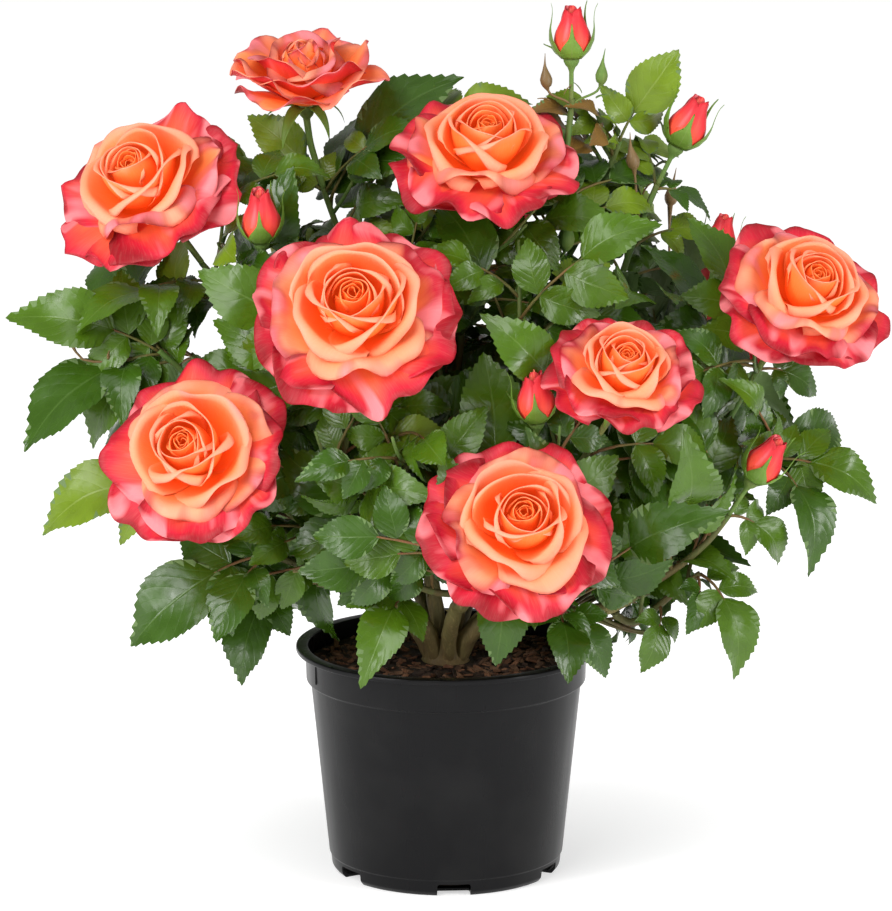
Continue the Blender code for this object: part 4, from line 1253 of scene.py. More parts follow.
def main_petals() -> list[PetalPlan]:
    """The large petals inside the rim; azimuth 0 is the flower's lower side and 180 its upper."""
    return [
        PetalPlan(172.0, 0.22, width=1.1),
        PetalPlan(36.0, 0.26),
        PetalPlan(292.0, 0.3),
        PetalPlan(200.0, 0.33, width=1.1, lip=0.6, left=0.7, right=0.7, lean=4.0),
        PetalPlan(338.0, 0.37, left=0.9, right=1.3),
        PetalPlan(66.0, 0.42, left=1.5, right=0.8),
        PetalPlan(156.0, 0.49, width=1.05, lip=0.45, left=0.5, right=0.5, lean=8.0),
        PetalPlan(298.0, 0.55, lip=1.2, left=1.0, right=1.4),
        PetalPlan(92.0, 0.58, lip=0.9, left=1.0, right=0.8),
        PetalPlan(196.0, 0.63, width=1.15, lip=0.5, left=0.5, right=0.5, blush=0.16, lean=9.0),
        PetalPlan(22.0, 0.68, lip=1.2, left=1.2, right=1.2, blush=0.42),
        PetalPlan(252.0, 0.75, lip=0.9, width=1.05, blush=0.45),
        PetalPlan(132.0, 0.78, lip=1.0, width=1.05, blush=0.55),
    ]


@dataclass
class Petals:
    """The petals of one flower: a tight heart, the large petals round it and a ruffled rim."""

    name: str
    radius: float
    cup: float = 0.0
    ruffle: float = 1.0
    point: float = 0.0
    turned: float = 0.0
    mirrored: bool = False
    heart_count: int = 10
    rim_count: int = 8
    across_steps: int = 24
    body_steps: int = 8
    lip_steps: int = 6
    whorls: Whorls = field(default_factory=Whorls)

    golden = radians(137.508)
    fold_place = 0.8

    def plans(self, rng: random.Random) -> list[PetalPlan]:
        """All the petals of this flower."""
        plans = []
        for index in range(self.heart_count):
            age = 0.005 + 0.175 * index / (self.heart_count - 1)
            plans.append(PetalPlan(degrees(index * self.golden) + rng.uniform(-8.0, 8.0), age))
        for plan in main_petals():
            azimuth = -plan.azimuth if self.mirrored else plan.azimuth
            left, right = (plan.right, plan.left) if self.mirrored else (plan.left, plan.right)
            plans.append(
                PetalPlan(
                    azimuth + self.turned + rng.uniform(-9.0, 9.0),
                    plan.age + rng.uniform(-0.012, 0.012),
                    plan.blush * rng.uniform(0.7, 1.2),
                    plan.lip * rng.uniform(0.8, 1.2),
                    left * rng.uniform(0.8, 1.2),
                    right * rng.uniform(0.8, 1.2),
                    plan.width * rng.uniform(0.95, 1.05),
                    plan.lean + rng.uniform(-4.0, 4.0),
                )
            )
        start = rng.uniform(0.0, 360.0)
        for index in range(self.rim_count):
            order = (index * 3) % self.rim_count
            plans.append(
                PetalPlan(
                    start + 360.0 * order / self.rim_count + rng.uniform(-7.0, 7.0),
                    0.88 + 0.12 * index / (self.rim_count - 1),
                    1.0,
                    rng.uniform(0.5, 1.4),
                    rng.uniform(0.5, 1.3),
                    rng.uniform(0.5, 1.3),
                    rng.uniform(0.95, 1.12),
                    rng.uniform(-7.0, 6.0),
                )
            )
        return plans

    def sheet(
        self, wide: np.ndarray, long: np.ndarray, plan: PetalPlan, rng: random.Random
    ) -> tuple[np.ndarray, np.ndarray]:
        """The places of a petal's points, over the flower's radius.

        Args:
            wide: each point's place across the petal, from -1 to 1.
            long: each point's place along it, from 0 at its root over fold_place, where the lip
                starts to roll, to 1 at its margin.
            plan: the petal.
            rng: the draws of this petal.

        Returns:
            One row of x, y and z for each point, the petal leaning out along +X, and how far each
            point stands on a crest of its ruffles, from -1 to 1.
        """
        whorls, age = self.whorls, plan.age
        loose = float(smooth_step(np.array([age]), 0.45, 0.9)[0])
        spread, radii, heights, turns = whorls.middle_line(age, plan.lean, self.cup)
        waves = [rng.uniform(0.0, 2.0 * pi) for _ in range(7)]
        edge = np.abs(wide)
        length = float(spread[-2])
        outline = 1.0 - (0.24 + 0.04 * loose) * edge**2.5
        outline += (0.012 + 0.024 * loose) * self.ruffle * np.sin(4.3 * wide + waves[0])
        outline += 0.02 * loose * self.ruffle * np.sin(8.0 * wide + waves[1])
        outline -= 0.05 * loose * np.exp(-((wide - rng.uniform(-0.2, 0.2)) / 0.13) ** 2) * (1.0 - self.point)
        outline += self.point * loose * 0.07 * np.clip(1.0 - edge / 0.22, 0.0, 1.0)
        side = np.where(wide < 0.0, plan.left, plan.right)
        tip_lip = whorls.column(whorls.lips, age) * plan.lip * (1.0 - 0.85 * self.point * loose)
        side_lip = whorls.column(whorls.side_lips, age) * (1.0 + 1.0 * self.point * loose)
        lip = tip_lip + (side_lip * side - tip_lip) * smooth_step(edge, 0.05, 0.85)
        lip = lip * (1.0 + 0.22 * np.sin(5.0 * wide + waves[6])) * (1.0 - 0.6 * self.cup * (1.0 - loose))
        fold = np.maximum(length * outline - lip * 0.6, 0.15)
        in_body = np.clip(long / self.fold_place, 0.0, 1.0)
        in_lip = np.clip((long - self.fold_place) / (1.0 - self.fold_place), 0.0, 1.0)
        spot = fold * in_body**0.9
        radius = np.interp(spot, spread, radii)
        height = np.interp(spot, spread, heights)
        turn = np.interp(spot, spread, turns)
        widest = whorls.column(whorls.half_widths, age) * plan.width
        swell = np.sin(np.clip(spot / (0.66 * length), 0.0, 1.0) * pi / 2.0) ** 0.85
        half = widest * (0.22 + 0.78 * swell)
        reach = wide * np.minimum(half, 2.3 * radius + 0.02)
        reach = reach * (1.0 - 0.16 * in_lip * (1.0 - loose))
        flat = whorls.column(whorls.flatness, age) * smooth_step(spot, 0.25 * length, length)
        bend = radius * (1.0 + flat)
        angle = reach / bend
        spiral = radius * (1.0 + 0.045 * wide * (1.0 - loose))
        level = spiral - bend * (1.0 - np.cos(angle))
        sideways = bend * np.sin(angle)
        out = np.stack([np.sin(turn) * np.cos(angle), np.sin(turn) * np.sin(angle), -np.cos(turn)], axis=1)
        upward = np.stack([np.cos(turn) * np.cos(angle), np.cos(turn) * np.sin(angle), np.sin(turn)], axis=1)
        roll = whorls.column(whorls.rolls, age) * (1.0 + 0.25 * np.sin(3.0 * wide + waves[4]))
        past = lip * in_lip
        rolled = np.minimum(past / roll, 2.7)
        beyond = past - rolled * roll
        along = roll * np.sin(rolled) + beyond * np.cos(rolled)
        away = roll * (1.0 - np.cos(rolled)) + beyond * np.sin(rolled)
        near_margin = smooth_step(spot / length + 0.3 * in_lip, 0.45, 1.15)
        crest = np.sin(4.4 * wide + waves[2] + 1.2 * spot) + 0.5 * np.sin(9.5 * wide + waves[3])
        ruffle = crest * near_margin * (0.12 + 0.88 * loose) * 0.068 * self.ruffle
        dent = 0.01 * np.sin(3.0 * wide + 5.0 * spot + waves[4]) * near_margin
        curl = 0.035 * smooth_step(edge, 0.7, 1.0) * smooth_step(spot, 0.2, 0.6) * (age > 0.2)
        push = away + ruffle + dent + curl
        place = np.stack([level, sideways, height], axis=1) + out * push[:, None] + upward * along[:, None]
        return place, crest / 1.5

    def mesh(self, place: Matrix, inner: Material, outer: Material) -> Mesh:
        """All the petals as one mesh, each with its own map, age, blush and crests.

        Args:
            place: the flower's frame.
            inner: the material of the faces that look in and up.
            outer: the material of the backs.

        Returns:
            The mesh, in place.
        """
        bm = bmesh.new()
        petal_map = bm.loops.layers.uv.new("petal")
        layers = [bm.verts.layers.float.new(name) for name in PETAL_LAYERS]
        rng = random.Random(f"{SEED} {self.name} petals")
        rows = self.body_steps + self.lip_steps
        shaded = self.cup * self.cup
        for plan in self.plans(rng):
            age = plan.age * (1.0 - 0.25 * shaded)
            blush = plan.blush + (0.46 - plan.blush) * shaded
            grid = bmesh.ops.create_grid(bm, x_segments=self.across_steps, y_segments=rows, size=1.0)
            verts = grid["verts"]
            wide = np.array([vert.co.x for vert in verts])
            row = (np.array([vert.co.y for vert in verts]) + 1.0) * rows / 2.0
            stations = ([0.0, self.body_steps, rows], [0.0, self.fold_place, 1.0])
            long = np.interp(row, *stations)
            points, crests = self.sheet(wide, long, plan, rng)
            moved = place @ Matrix.Rotation(radians(plan.azimuth), 4, "Z")
            for vert, point, x, y, crest in zip(verts, points, wide, long, crests):
                vert.co = moved @ Vector(point * self.radius)
                for layer, value in zip(layers, (age, blush, crest)):
                    vert[layer] = value
                for loop in vert.link_loops:
                    loop[petal_map].uv = ((x + 1.0) / 2.0, y)
        return mesh_of(bm, self.name, outer, inner)


@dataclass(frozen=True)
class Bloom:
    """An open rose: where it is, its centre, the way it faces in degrees, its radius and how it stands."""

    place: str
    centre: tuple
    azimuth: float
    elevation: float
    radius: float
    cup: float = 0.0
    stalk: float = 0.045
    ruffle: float = 1.0
    point: float = 0.0
    turned: float = 0.0
    mirrored: bool = False

    stalk_radius = 0.0021
    hip_share = 0.45
    hip_rise = 0.0105
    petal_wall = 0.00045

    @property
    def name(self) -> str:
        """The flower's name."""
        return f"bloom_{self.place}"

    @property
    def shoot(self) -> str:
        """The shoot that bears it."""
        return f"shoot_{self.place}"

    @property
    def face(self) -> Vector:
        """The way the flower faces."""
        return heading(self.azimuth, self.elevation)

    def stalk_base(self) -> tuple[Vector, Vector, Vector]:
        """The underside of the hip, the lower end of the stalk and the stalk's direction downwards."""
        hip = Vector(self.centre) - self.face * self.radius * self.hip_share
        home = Vector(CANES[SHOOTS[self.shoot].cane].tip)
        falling = (self.face * -0.55 + (home - hip).normalized() * 0.9).normalized()
        return hip, hip + falling * self.stalk, falling

    def frame_at(self, hip: Vector) -> Matrix:
        """The flower's frame: its Z axis along the way it faces and its X axis to its lower side."""
        down = across(self.face, -UP)
        side = self.face.cross(down)
        here = Matrix((down, side, self.face)).transposed().to_4x4()
        here.translation = hip + self.face * self.hip_rise
        return here

    def build(self, skins: Sequence[Material], green: "Calyx") -> list[Object]:
        """Builds the flower and the green parts that carry it.

        Args:
            skins: the materials of the petals' inner and outer faces.
            green: the maker of the green parts.

        Returns:
            The petals and the calyx.
        """
        hip, foot, falling = self.stalk_base()
        petals = Petals(self.name, self.radius, self.cup, self.ruffle, self.point, self.turned, self.mirrored)
        mesh = petals.mesh(self.frame_at(hip), *skins)
        flower = piece_of(mesh, f"{self.name}_petals", [self.name])
        thicken(flower, self.petal_wall)
        start = foot - falling * GAP * 1.5
        line = refined([start] + arch(start, -falling, hip, self.face, 4)[1:], 4)
        radii = [self.stalk_radius * (0.9 + 0.2 * index / len(line)) for index in range(len(line))]
        mesh = green.mesh(self.name, line, radii, hip, self.face, self.radius)
        return [flower, piece_of(mesh, f"{self.name}_calyx")]


@dataclass
class Calyx:
    """The green hip under a flower, its sepals and its stalk."""

    stalk_skin: Material
    sepal_skin: Material
    sepal_count: int = 5
    hip_radius: float = 0.0048

    def sepal(self, place: Matrix, angle: float, length: float, fall: float, spread: float) -> Mesh:
        """One sepal: a narrow tapering blade that follows the flower's back and curls away at its tip.

        Args:
            place: the frame of the hip's top, its Z axis along the flower.
            angle: the sepal's place round the hip.
            length: from root to tip.
            fall: degrees by which it bends down towards its tip.
            spread: its angle in degrees over the horizontal at its root.

        Returns:
            The sepal's mesh, in place.
        """
        here = place @ Matrix.Rotation(angle, 4, "Z")

        def spot(wide: float, long: float) -> Vector:
            """A point of the blade."""
            bend = radians(spread - fall * long)
            half = length * 0.17 * (1.0 - long) ** 0.8 * (0.55 + 1.6 * long * (1.0 - long) + 0.3)
            out = self.hip_radius + length * long * cos(bend * 0.6 + radians(spread) * 0.4)
            rise = length * long * sin(bend * 0.6 + radians(spread) * 0.4)
            cupped = 0.35 * half * wide * wide
            return here @ Vector((out, wide * half, rise + cupped))

        return leaf_blade(4, 9, spot, self.sepal_skin)

    def mesh(
        self, name: str, line: Points, radii: Sequence[float], hip: Vector, face: Vector, radius: float
    ) -> Mesh:
        """The whole green part of one open flower.

        Args:
            name: the flower's name.
            line: the stalk's line up to the hip's underside.
            radii: the stalk's radii.
            hip: the hip's underside.
            face: the way the flower faces.
            radius: the flower's radius.

        Returns:
            The joined mesh.
        """
        rng = random.Random(f"{SEED} {name} calyx")
        swell = ((0.0015, 0.0026), (0.0035, 0.0043), (0.0065, 0.0054), (0.0095, 0.0056), (0.012, 0.005))
        points = list(line) + [hip + face * rise for rise, _ in swell]
        body = tube(points, list(radii) + [wide for _, wide in swell], 12)
        meshes = [mesh_of(body, "hip", self.stalk_skin)]
        top = facing(hip + face * 0.0098, face)
        for index in range(self.sepal_count):
            angle = 0.4 + index * 2.0 * pi / self.sepal_count
            length = radius * rng.uniform(0.42, 0.55)
            meshes.append(self.sepal(top, angle, length, rng.uniform(50.0, 95.0), rng.uniform(2.0, 14.0)))
        return joined(meshes, f"{name}_calyx")


@dataclass(frozen=True)
class Bud:
    """A coloured bud: its middle, the way it points, its length, and where its stalk meets a shoot."""

    name: str
    shoot: str
    along: float
    centre: tuple
    azimuth: float
    elevation: float
    length: float
    open: float = 0.35

    stalk_radius = 0.0015
    least_radius = 0.002
    sepal_count = 5
    bent_sepal = 3
    petal_turn = 2.4
    petal_wall = 0.0004
    ages = (
        (0.66, 1.0), (0.66, 1.0), (0.64, 1.0), (0.64, 0.98),
        (0.34, 0.75), (0.3, 0.6), (0.26, 0.45), (0.2, 0.3),
    )
    egg = (
        (0.0, 0.15, 0.35, 0.55, 0.75, 0.9, 1.0),
        (0.14, 0.29, 0.36, 0.335, 0.25, 0.185, 0.16),
    )
    sepal_form = (
        (0.0, 0.12, 0.3, 0.45, 0.6, 0.75, 1.0),
        (0.135, 0.175, 0.145, 0.085, 0.035, 0.022, 0.006),
    )

    @property
    def way(self) -> Vector:
        """The way the bud points."""
        return heading(self.azimuth, self.elevation)

    def base(self) -> Vector:
        """The underside of the hip."""
        return Vector(self.centre) - self.way * self.length * 0.62

    def petal_sheet(self, wide: float, long: float, index: int) -> Vector:
        """A point of one furled petal, over the bud's length; the last petals make the heart.

        Args:
            wide: the place across the petal, from -1 to 1.
            long: the place along it, from 0 to 1.
            index: the petal's number, from the outermost.

        Returns:
            The point, with the bud's line along +Z.
        """
        inner = max(0, index - 3)
        shrink = 1.0 - 0.035 * min(index, 4) - 0.17 * inner
        radius = float(np.interp(long, *self.egg)) * shrink
        margin = max(0.0, (long - 0.82) / 0.18) ** 1.5
        radius += (0.075 * self.open * (1.0 - 0.5 * abs(wide)) * margin) * (inner == 0)
        radius += 0.016 * wide + 0.012 * max(0.0, wide - 0.7)
        tall = (0.93, 0.96, 0.9, 0.95, 0.97, 0.98, 0.97, 0.95)[index]
        height = tall * (long - (0.2 - 0.1 * (inner > 0)) * abs(wide) ** 2.0 * long)
        turn = wide * (1.15 + 0.1 * inner) + 0.35 * long
        return Vector((radius * cos(turn), radius * sin(turn), height))

    def toward_front(self, place: Matrix) -> float:
        """The angle round the bud that looks to the plant's front."""
        front = place.to_3x3().inverted() @ Vector((0.0, -1.0, 0.0))
        return atan2(front.y, front.x)

    def petals(self, place: Matrix, skins: Sequence[Material]) -> Mesh:
        """The furled petals, each wrapped over the next.

        Args:
            place: the bud's frame.
            skins: the materials of the petals' inner and outer faces.

        Returns:
            The mesh, in place.
        """
        front = self.toward_front(place) + 0.45
        bm = bmesh.new()
        petal_map = bm.loops.layers.uv.new("petal")
        layers = [bm.verts.layers.float.new(name) for name in PETAL_LAYERS]
        for index, (age, blush) in enumerate(self.ages):
            grid = bmesh.ops.create_grid(bm, x_segments=12, y_segments=12, size=1.0)
            turn = Matrix.Rotation(index * self.petal_turn + front, 4, "Z")
            for vert in grid["verts"]:
                wide, long = vert.co.x, (vert.co.y + 1.0) / 2.0
                for loop in vert.link_loops:
                    loop[petal_map].uv = (0.5 + 0.33 * wide, 0.34 + 0.58 * long)
                for layer, value in zip(layers, (age, blush, 0.6 * sin(2.5 * wide + index) * long)):
                    vert[layer] = value
                vert.co = place @ turn @ (self.petal_sheet(wide, long, index) * self.length)
        return mesh_of(bm, self.name, skins[1], skins[0])

    def build(
        self, lines: dict[str, Points], skins: Sequence[Material], green: Calyx
    ) -> list[Object]:
        """Builds the bud and the green parts that carry it.

        Args:
            lines: the stems' lines by shoot.
            skins: the materials of the petals' inner and outer faces.
            green: the maker of the green parts.

        Returns:
            The petals and the calyx.
        """
        hip = self.base()
        if self.along >= 1.0:
            foot = lines[self.shoot][-1] + self.way * GAP * 1.5
            line = refined([foot, foot.lerp(hip, 0.5), hip], 3)
        else:
            point, direction = point_at(lines[self.shoot], self.along)
            out = across(direction, hip - point)
            start = point + out * 0.002
            line = refined([start] + arch(start + out * 0.003, out, hip, self.way, 4), 4)
        size = self.length
        top = facing(hip + self.way * 0.16 * size, self.way)
        furled = piece_of(self.petals(top, skins), f"{self.name}_petals", [self.name])
        thicken(furled, self.petal_wall)
        swell = ((0.0, 0.075), (0.04, 0.115), (0.11, 0.15), (0.17, 0.15), (0.21, 0.125))
        points = line[:-1] + [hip + self.way * rise * size for rise, _ in swell]
        radii = [self.stalk_radius] * (len(line) - 1) + [wide * size for _, wide in swell]
        meshes = [mesh_of(tube(points, radii, 12), "hip", green.stalk_skin)]
        rng = random.Random(f"{SEED} {self.name} calyx")
        collar = facing(hip + self.way * 0.17 * size, self.way)
        for index in range(self.sepal_count):
            angle = self.toward_front(collar) + index * 2.0 * pi / self.sepal_count
            spread = rng.uniform(0.16, 0.4) if index else 0.02
            tall = 1.02 if index else 0.66
            meshes.append(self.sepal(collar, angle, green.sepal_skin, spread, index == self.bent_sepal, tall))
        mesh = joined(meshes, f"{self.name}_calyx")
        return [furled, piece_of(mesh, f"{self.name}_calyx")]

    def sepal(
        self, place: Matrix, angle: float, skin: Material, spread: float, away: bool, tall: float
    ) -> Mesh:
        """One sepal, broad at its root and drawn out to a thread.

        Args:
            place: the frame of the hip's top.
            angle: the sepal's place round it.
            skin: its material.
            spread: how far its tip stands off the bud, over the bud's length.
            away: whether it has bent right away from the bud's side.
            tall: its length over the bud's.

        Returns:
            The sepal's mesh, in place.
        """
        here = place @ Matrix.Rotation(angle, 4, "Z")
        size = self.length

        def spot(wide: float, long: float) -> Vector:
            """A point of the sepal, close over the bud or bent right away from it."""
            half = size * float(np.interp(long, *self.sepal_form)) / tall**0.8
            if away:
                radius = size * (0.145 + 0.7 * long)
                height = size * (0.16 * sin(long * 2.6) - 0.1 * long + spread * long**3)
            else:
                side = float(np.interp(tall * long, *self.egg))
                radius = size * (side + 0.05 - 0.02 * long + spread * long**2.5)
                height = size * tall * long
            bend = wide * half / max(radius, self.least_radius)
            return here @ Vector((radius * cos(bend), radius * sin(bend), height))

        return leaf_blade(4, 12, spot, skin)


BLOOMS = (
    Bloom("upper_left", (-0.188, -0.02, 0.445), 237, 45, 0.062, point=1.0),
    Bloom("top_left", (-0.088, 0.03, 0.5), 262, 78, 0.058, 1.0, point=0.9, turned=200.0),
    Bloom("top_middle", (0.025, -0.02, 0.466), 277, 60, 0.062, point=0.3, mirrored=True),
    Bloom("front_middle", (-0.055, -0.13, 0.386), 267, 38, 0.0675, ruffle=1.2),
    Bloom("front_left", (-0.154, -0.12, 0.2955), 251, 30, 0.062, turned=-30.0),
    Bloom("front_right", (0.107, -0.125, 0.3445), 279, 52, 0.05, 0.25, mirrored=True),
    Bloom("front_low", (0.045, -0.168, 0.2615), 278, 35, 0.061, stalk=0.035, turned=24.0),
    Bloom("far_right", (0.224, -0.03, 0.378), 297, 46, 0.0575, point=0.5, turned=-50.0),
    Bloom("back_top", (0.028, 0.122, 0.426), 88, 52, 0.05, 0.3, turned=80.0),
    Bloom("back_left", (-0.064, 0.172, 0.324), 100, 36, 0.055, mirrored=True),
    Bloom("back_right", (0.202, 0.12, 0.34), 62, 38, 0.047, point=0.5, turned=30.0),
)

BUDS = (
    Bud("bud_top", "shoot_top_bud", 1.0, (0.078, 0.02, 0.531), 95, 88, 0.034),
    Bud("bud_right", "shoot_right_bud", 1.0, (0.152, 0.04, 0.472), 5, 64, 0.036),
    Bud("bud_low", "shoot_low_bud", 1.0, (0.197, -0.06, 0.277), 350, 58, 0.033),
    Bud("bud_upper_left", "shoot_upper_left", 0.5, (-0.114, -0.048, 0.427), 255, 82, 0.035),
    Bud("bud_front", "shoot_front_right", 0.45, (0.0535, -0.112, 0.327), 245, 78, 0.034),
    Bud("bud_far_right", "shoot_far_right", 0.55, (0.174, 0.06, 0.396), 30, 76, 0.029),
)


@dataclass(frozen=True)
class ClosedBud:
    """A small bud that is still shut: where its stalk leaves a shoot, its underside, and how it points."""

    shoot: str
    along: float
    foot: tuple
    azimuth: float
    elevation: float
    length: float
    red: bool = False

    stalk_radius = 0.0008
    form = ((0.0, 0.11), (0.08, 0.19), (0.2, 0.245), (0.36, 0.265), (0.54, 0.21), (0.72, 0.13), (0.9, 0.07))
    thread = ((1.05, 0.04), (1.25, 0.024), (1.45, 0.012))

    def mesh(self, lines: dict[str, Points], green: Calyx) -> Mesh:
        """The stalk, the shut sepals drawn out to a thread, and two small bracts.

        Args:
            lines: the stems' lines by shoot.
            green: the maker of the green parts.

        Returns:
            The joined mesh.
        """
        base = Vector(self.foot)
        way = heading(self.azimuth, self.elevation)
        point, direction = point_at(lines[self.shoot], self.along)
        out = across(direction, base - point)
        stalk = refined(arch(point, (out + direction).normalized(), base, way, 5), 2)
        lean = across(way, UP + Vector((0.3, 0.0, 0.0)))
        tip = [base + (way * share + lean * 0.12 * (share - 0.9)) * self.length for share, _ in self.thread]
        points = stalk[:-1] + [base + way * share * self.length for share, _ in self.form] + tip
        radii = [self.stalk_radius] * (len(stalk) - 1)
        radii += [wide * self.length for _, wide in self.form + self.thread]
        meshes = [mesh_of(tube(points, radii, 10), "shut_bud")]
        for side in (-1.0, 1.0):
            place = facing(stalk[len(stalk) // 2], (out * 0.3 + way).normalized())
            meshes.append(green.sepal(place, side * 1.4, self.length * 0.55, 30.0, 50.0))
        return joined(meshes, "shut_bud", YOUNG_SKIN.material() if self.red else green.stalk_skin)


CLOSED_BUDS = (
    ClosedBud("shoot_top_bud", 0.93, (0.0629, 0.018, 0.4971), 180, 84, 0.015, True),
    ClosedBud("shoot_top_bud", 0.93, (0.0966, 0.022, 0.499), 350, 86, 0.0155),
    ClosedBud("shoot_right_bud", 0.72, (0.118, 0.03, 0.444), 200, 80, 0.0165, True),
    ClosedBud("shoot_top_bud", 0.55, (0.0742, 0.0, 0.3979), 320, 84, 0.021),
    ClosedBud("shoot_left", 0.9, (-0.2318, -0.03, 0.3434), 100, 66, 0.0125, True),
    ClosedBud("shoot_back_right", 0.8, (0.145, 0.128, 0.405), 60, 74, 0.017, True),
    ClosedBud("shoot_back_left", 0.8, (-0.11, 0.165, 0.365), 120, 70, 0.017),
)


# ---- Stems ------------------------


@dataclass
class Stems:
    """The green stems of all the shoots."""

    skin: Material
    fixed_steps: int = 5
    per_span: int = 5
    sides: int = 10
    lead: float = 0.003
    foot_radius: float = 0.0026
    tip_radius: float = 0.0018
    side_gap: float = 0.0006
    foot_swell: float = 1.25
    thorns: int = 5
    thorn_length: float = 0.0032

    def foot(self, shoot: Shoot, toward: Vector) -> tuple[Vector, Vector]:
        """Where a shoot leaves its cane.

        Args:
            shoot: the shoot.
            toward: the place that its stem makes for.

        Returns:
            The point, clear of the bark, and the direction outwards.
        """
        cane = CANES[shoot.cane]
        points = cane.line()
        point, direction = point_at(points, shoot.along)
        if shoot.along >= 1.0:
            return points[-1] + direction * GAP * 1.5, direction
        out = across(direction, toward - point)
        return point + out * (cane.radius(shoot.along) + self.side_gap), out

    def line(self, shoot: Shoot) -> Points:
        """The fixed points of a shoot's stem, from its cane to the foot of what it carries."""
        carried = [bloom for bloom in BLOOMS if bloom.shoot == shoot.name]
        topped = [bud for bud in BUDS if bud.shoot == shoot.name and bud.along >= 1.0]
        arriving = None
        if carried:
            _, tip, falling = carried[0].stalk_base()
            arriving = -falling
        elif topped:
            arriving = topped[0].way
            tip = topped[0].base() - arriving * 0.022
        else:
            tip = Vector(shoot.tip)
        foot, leaving = self.foot(shoot, tip)
        if arriving is None:
            arriving = ((tip - foot).normalized() + UP * 0.1).normalized()
        start, end = foot + leaving * self.lead, tip - arriving * self.lead
        inner = arch(start, leaving, end, arriving, self.fixed_steps)
        return [foot] + inner + [tip]

    def mesh(self, name: str, points: Points) -> Mesh:
        """One smooth stem with a few thorns, thicker where it leaves its cane.

        Args:
            name: its shoot.
            points: its fixed points.

        Returns:
            The joined mesh.
        """
        fine = refined(points, self.per_span)
        last = len(fine) - 1
        thinning = self.tip_radius - self.foot_radius
        radii = [self.foot_radius + thinning * index / last for index in range(last + 1)]
        radii[0] *= self.foot_swell
        stem = mesh_of(tube(fine, radii, self.sides), "stem")
        prickles = Prickles(name, self.thorns, self.thorn_length)
        thorns = prickles.meshes(fine, lambda along: self.foot_radius + thinning * along)
        return joined([stem] + thorns, "stem")


# ---- Leaves ------------------------


@dataclass(frozen=True)
class Leaflet:
    """A leaflet's form at unit length, root at the origin and tip along +Y, its upper face up.

    It is one thin closed body: an upper and an under sheet that share a toothed margin.
    """

    widest: float = 0.6
    shoulder: float = 0.42
    fold: float = 0.16
    arch: float = 0.1
    droop: float = 0.12
    twist: float = 0.0
    teeth: float = 0.034
    across_steps: int = 4
    along_steps: int = 14
    thickness: float = 0.01

    outline = (
        (0.0, 0.04, 0.12, 0.24, 0.38, 0.5, 0.62, 0.74, 0.84, 0.92, 1.0),
        (0.0, 0.31, 0.64, 0.9, 1.0, 0.96, 0.82, 0.58, 0.32, 0.12, 0.0),
    )

    def half_width(self, long: float) -> float:
        """The outline: half the width at a place along the leaflet."""
        bent = long ** (log(0.42) / log(self.shoulder))
        return 0.5 * self.widest * float(np.interp(bent, *self.outline))

    def place(self, wide: float, long: float) -> Vector:
        """A point of the upper sheet."""
        half = self.half_width(long)
        rise = self.arch * sin(pi * long) - self.droop * long * long
        vee = self.fold * abs(wide) * half * 2.0 * (1.0 - 0.45 * abs(wide))
        ripple = 0.016 * sin(long * 15.0 + self.widest * 40.0 * wide) * wide * wide
        return Vector((wide * half, long, rise + vee + ripple + self.twist * wide * half * long))

    def build(self, upper: Material, under: Material) -> Mesh:
        """Builds the leaflet.

        Args:
            upper: the material of its upper face.
            under: the material of its underside.

        Returns:
            The mesh at unit length.
        """
        bm = bmesh.new()
        leaf_map = bm.loops.layers.uv.new("leaf")
        bmesh.ops.create_grid(bm, x_segments=self.across_steps, y_segments=self.along_steps, size=1.0)
        margin = [e for e in bm.edges if e.is_boundary and abs(e.verts[0].co.x - e.verts[1].co.x) < 1e-6]
        bmesh.ops.subdivide_edges(bm, edges=margin, cuts=1)
        for vert in bm.verts:
            wide, long = vert.co.x, (vert.co.y + 1.0) / 2.0
            for loop in vert.link_loops:
                loop[leaf_map].uv = ((wide + 1.0) / 2.0, long)
            row = long * self.along_steps
            tooth = 0.0
            if abs(wide) > 0.99 and 0.04 < long < 0.985:
                tooth = self.teeth if abs(row - round(row)) < 0.1 else -self.teeth * 0.55
            place = self.place(wide, long)
            place.x += copysign(tooth, wide) * (1.0 - 0.4 * long)
            place.y += 0.9 * max(tooth, 0.0)
            vert.co = place
        bmesh.ops.remove_doubles(bm, verts=bm.verts, dist=1e-5)
        upper_faces = list(bm.faces)
        rim = {vert for vert in bm.verts if vert.is_boundary}
        copy = bmesh.ops.duplicate(bm, geom=bm.verts[:] + bm.edges[:] + bm.faces[:])
        twins = {item for item in copy["geom"] if isinstance(item, BMFace)}
        for item in copy["geom"]:
            if isinstance(item, BMVert) and not item.is_boundary:
                item.co.z -= self.thickness
        for item in twins:
            item.material_index = 1
        bmesh.ops.reverse_faces(bm, faces=list(twins))
        if sum(item.normal.z for item in upper_faces) < 0.0:
            bmesh.ops.reverse_faces(bm, faces=bm.faces)
        rim |= {vert for vert in bm.verts if vert.is_boundary}
        bmesh.ops.remove_doubles(bm, verts=list(rim), dist=1e-6)
        for edge in bm.edges:
            if len({item.material_index for item in edge.link_faces}) > 1:
                edge.smooth = False
        return mesh_of(bm, "leaflet", upper, under)


LEAFLET_FORMS = (
    Leaflet(),
    Leaflet(widest=0.57, shoulder=0.4, fold=0.24, arch=0.16, droop=0.24, twist=0.1),
    Leaflet(widest=0.64, shoulder=0.44, fold=0.1, arch=0.08, droop=0.14, twist=-0.08),
    Leaflet(widest=0.54, shoulder=0.38, fold=0.3, arch=0.14, droop=0.32, twist=-0.14),
)


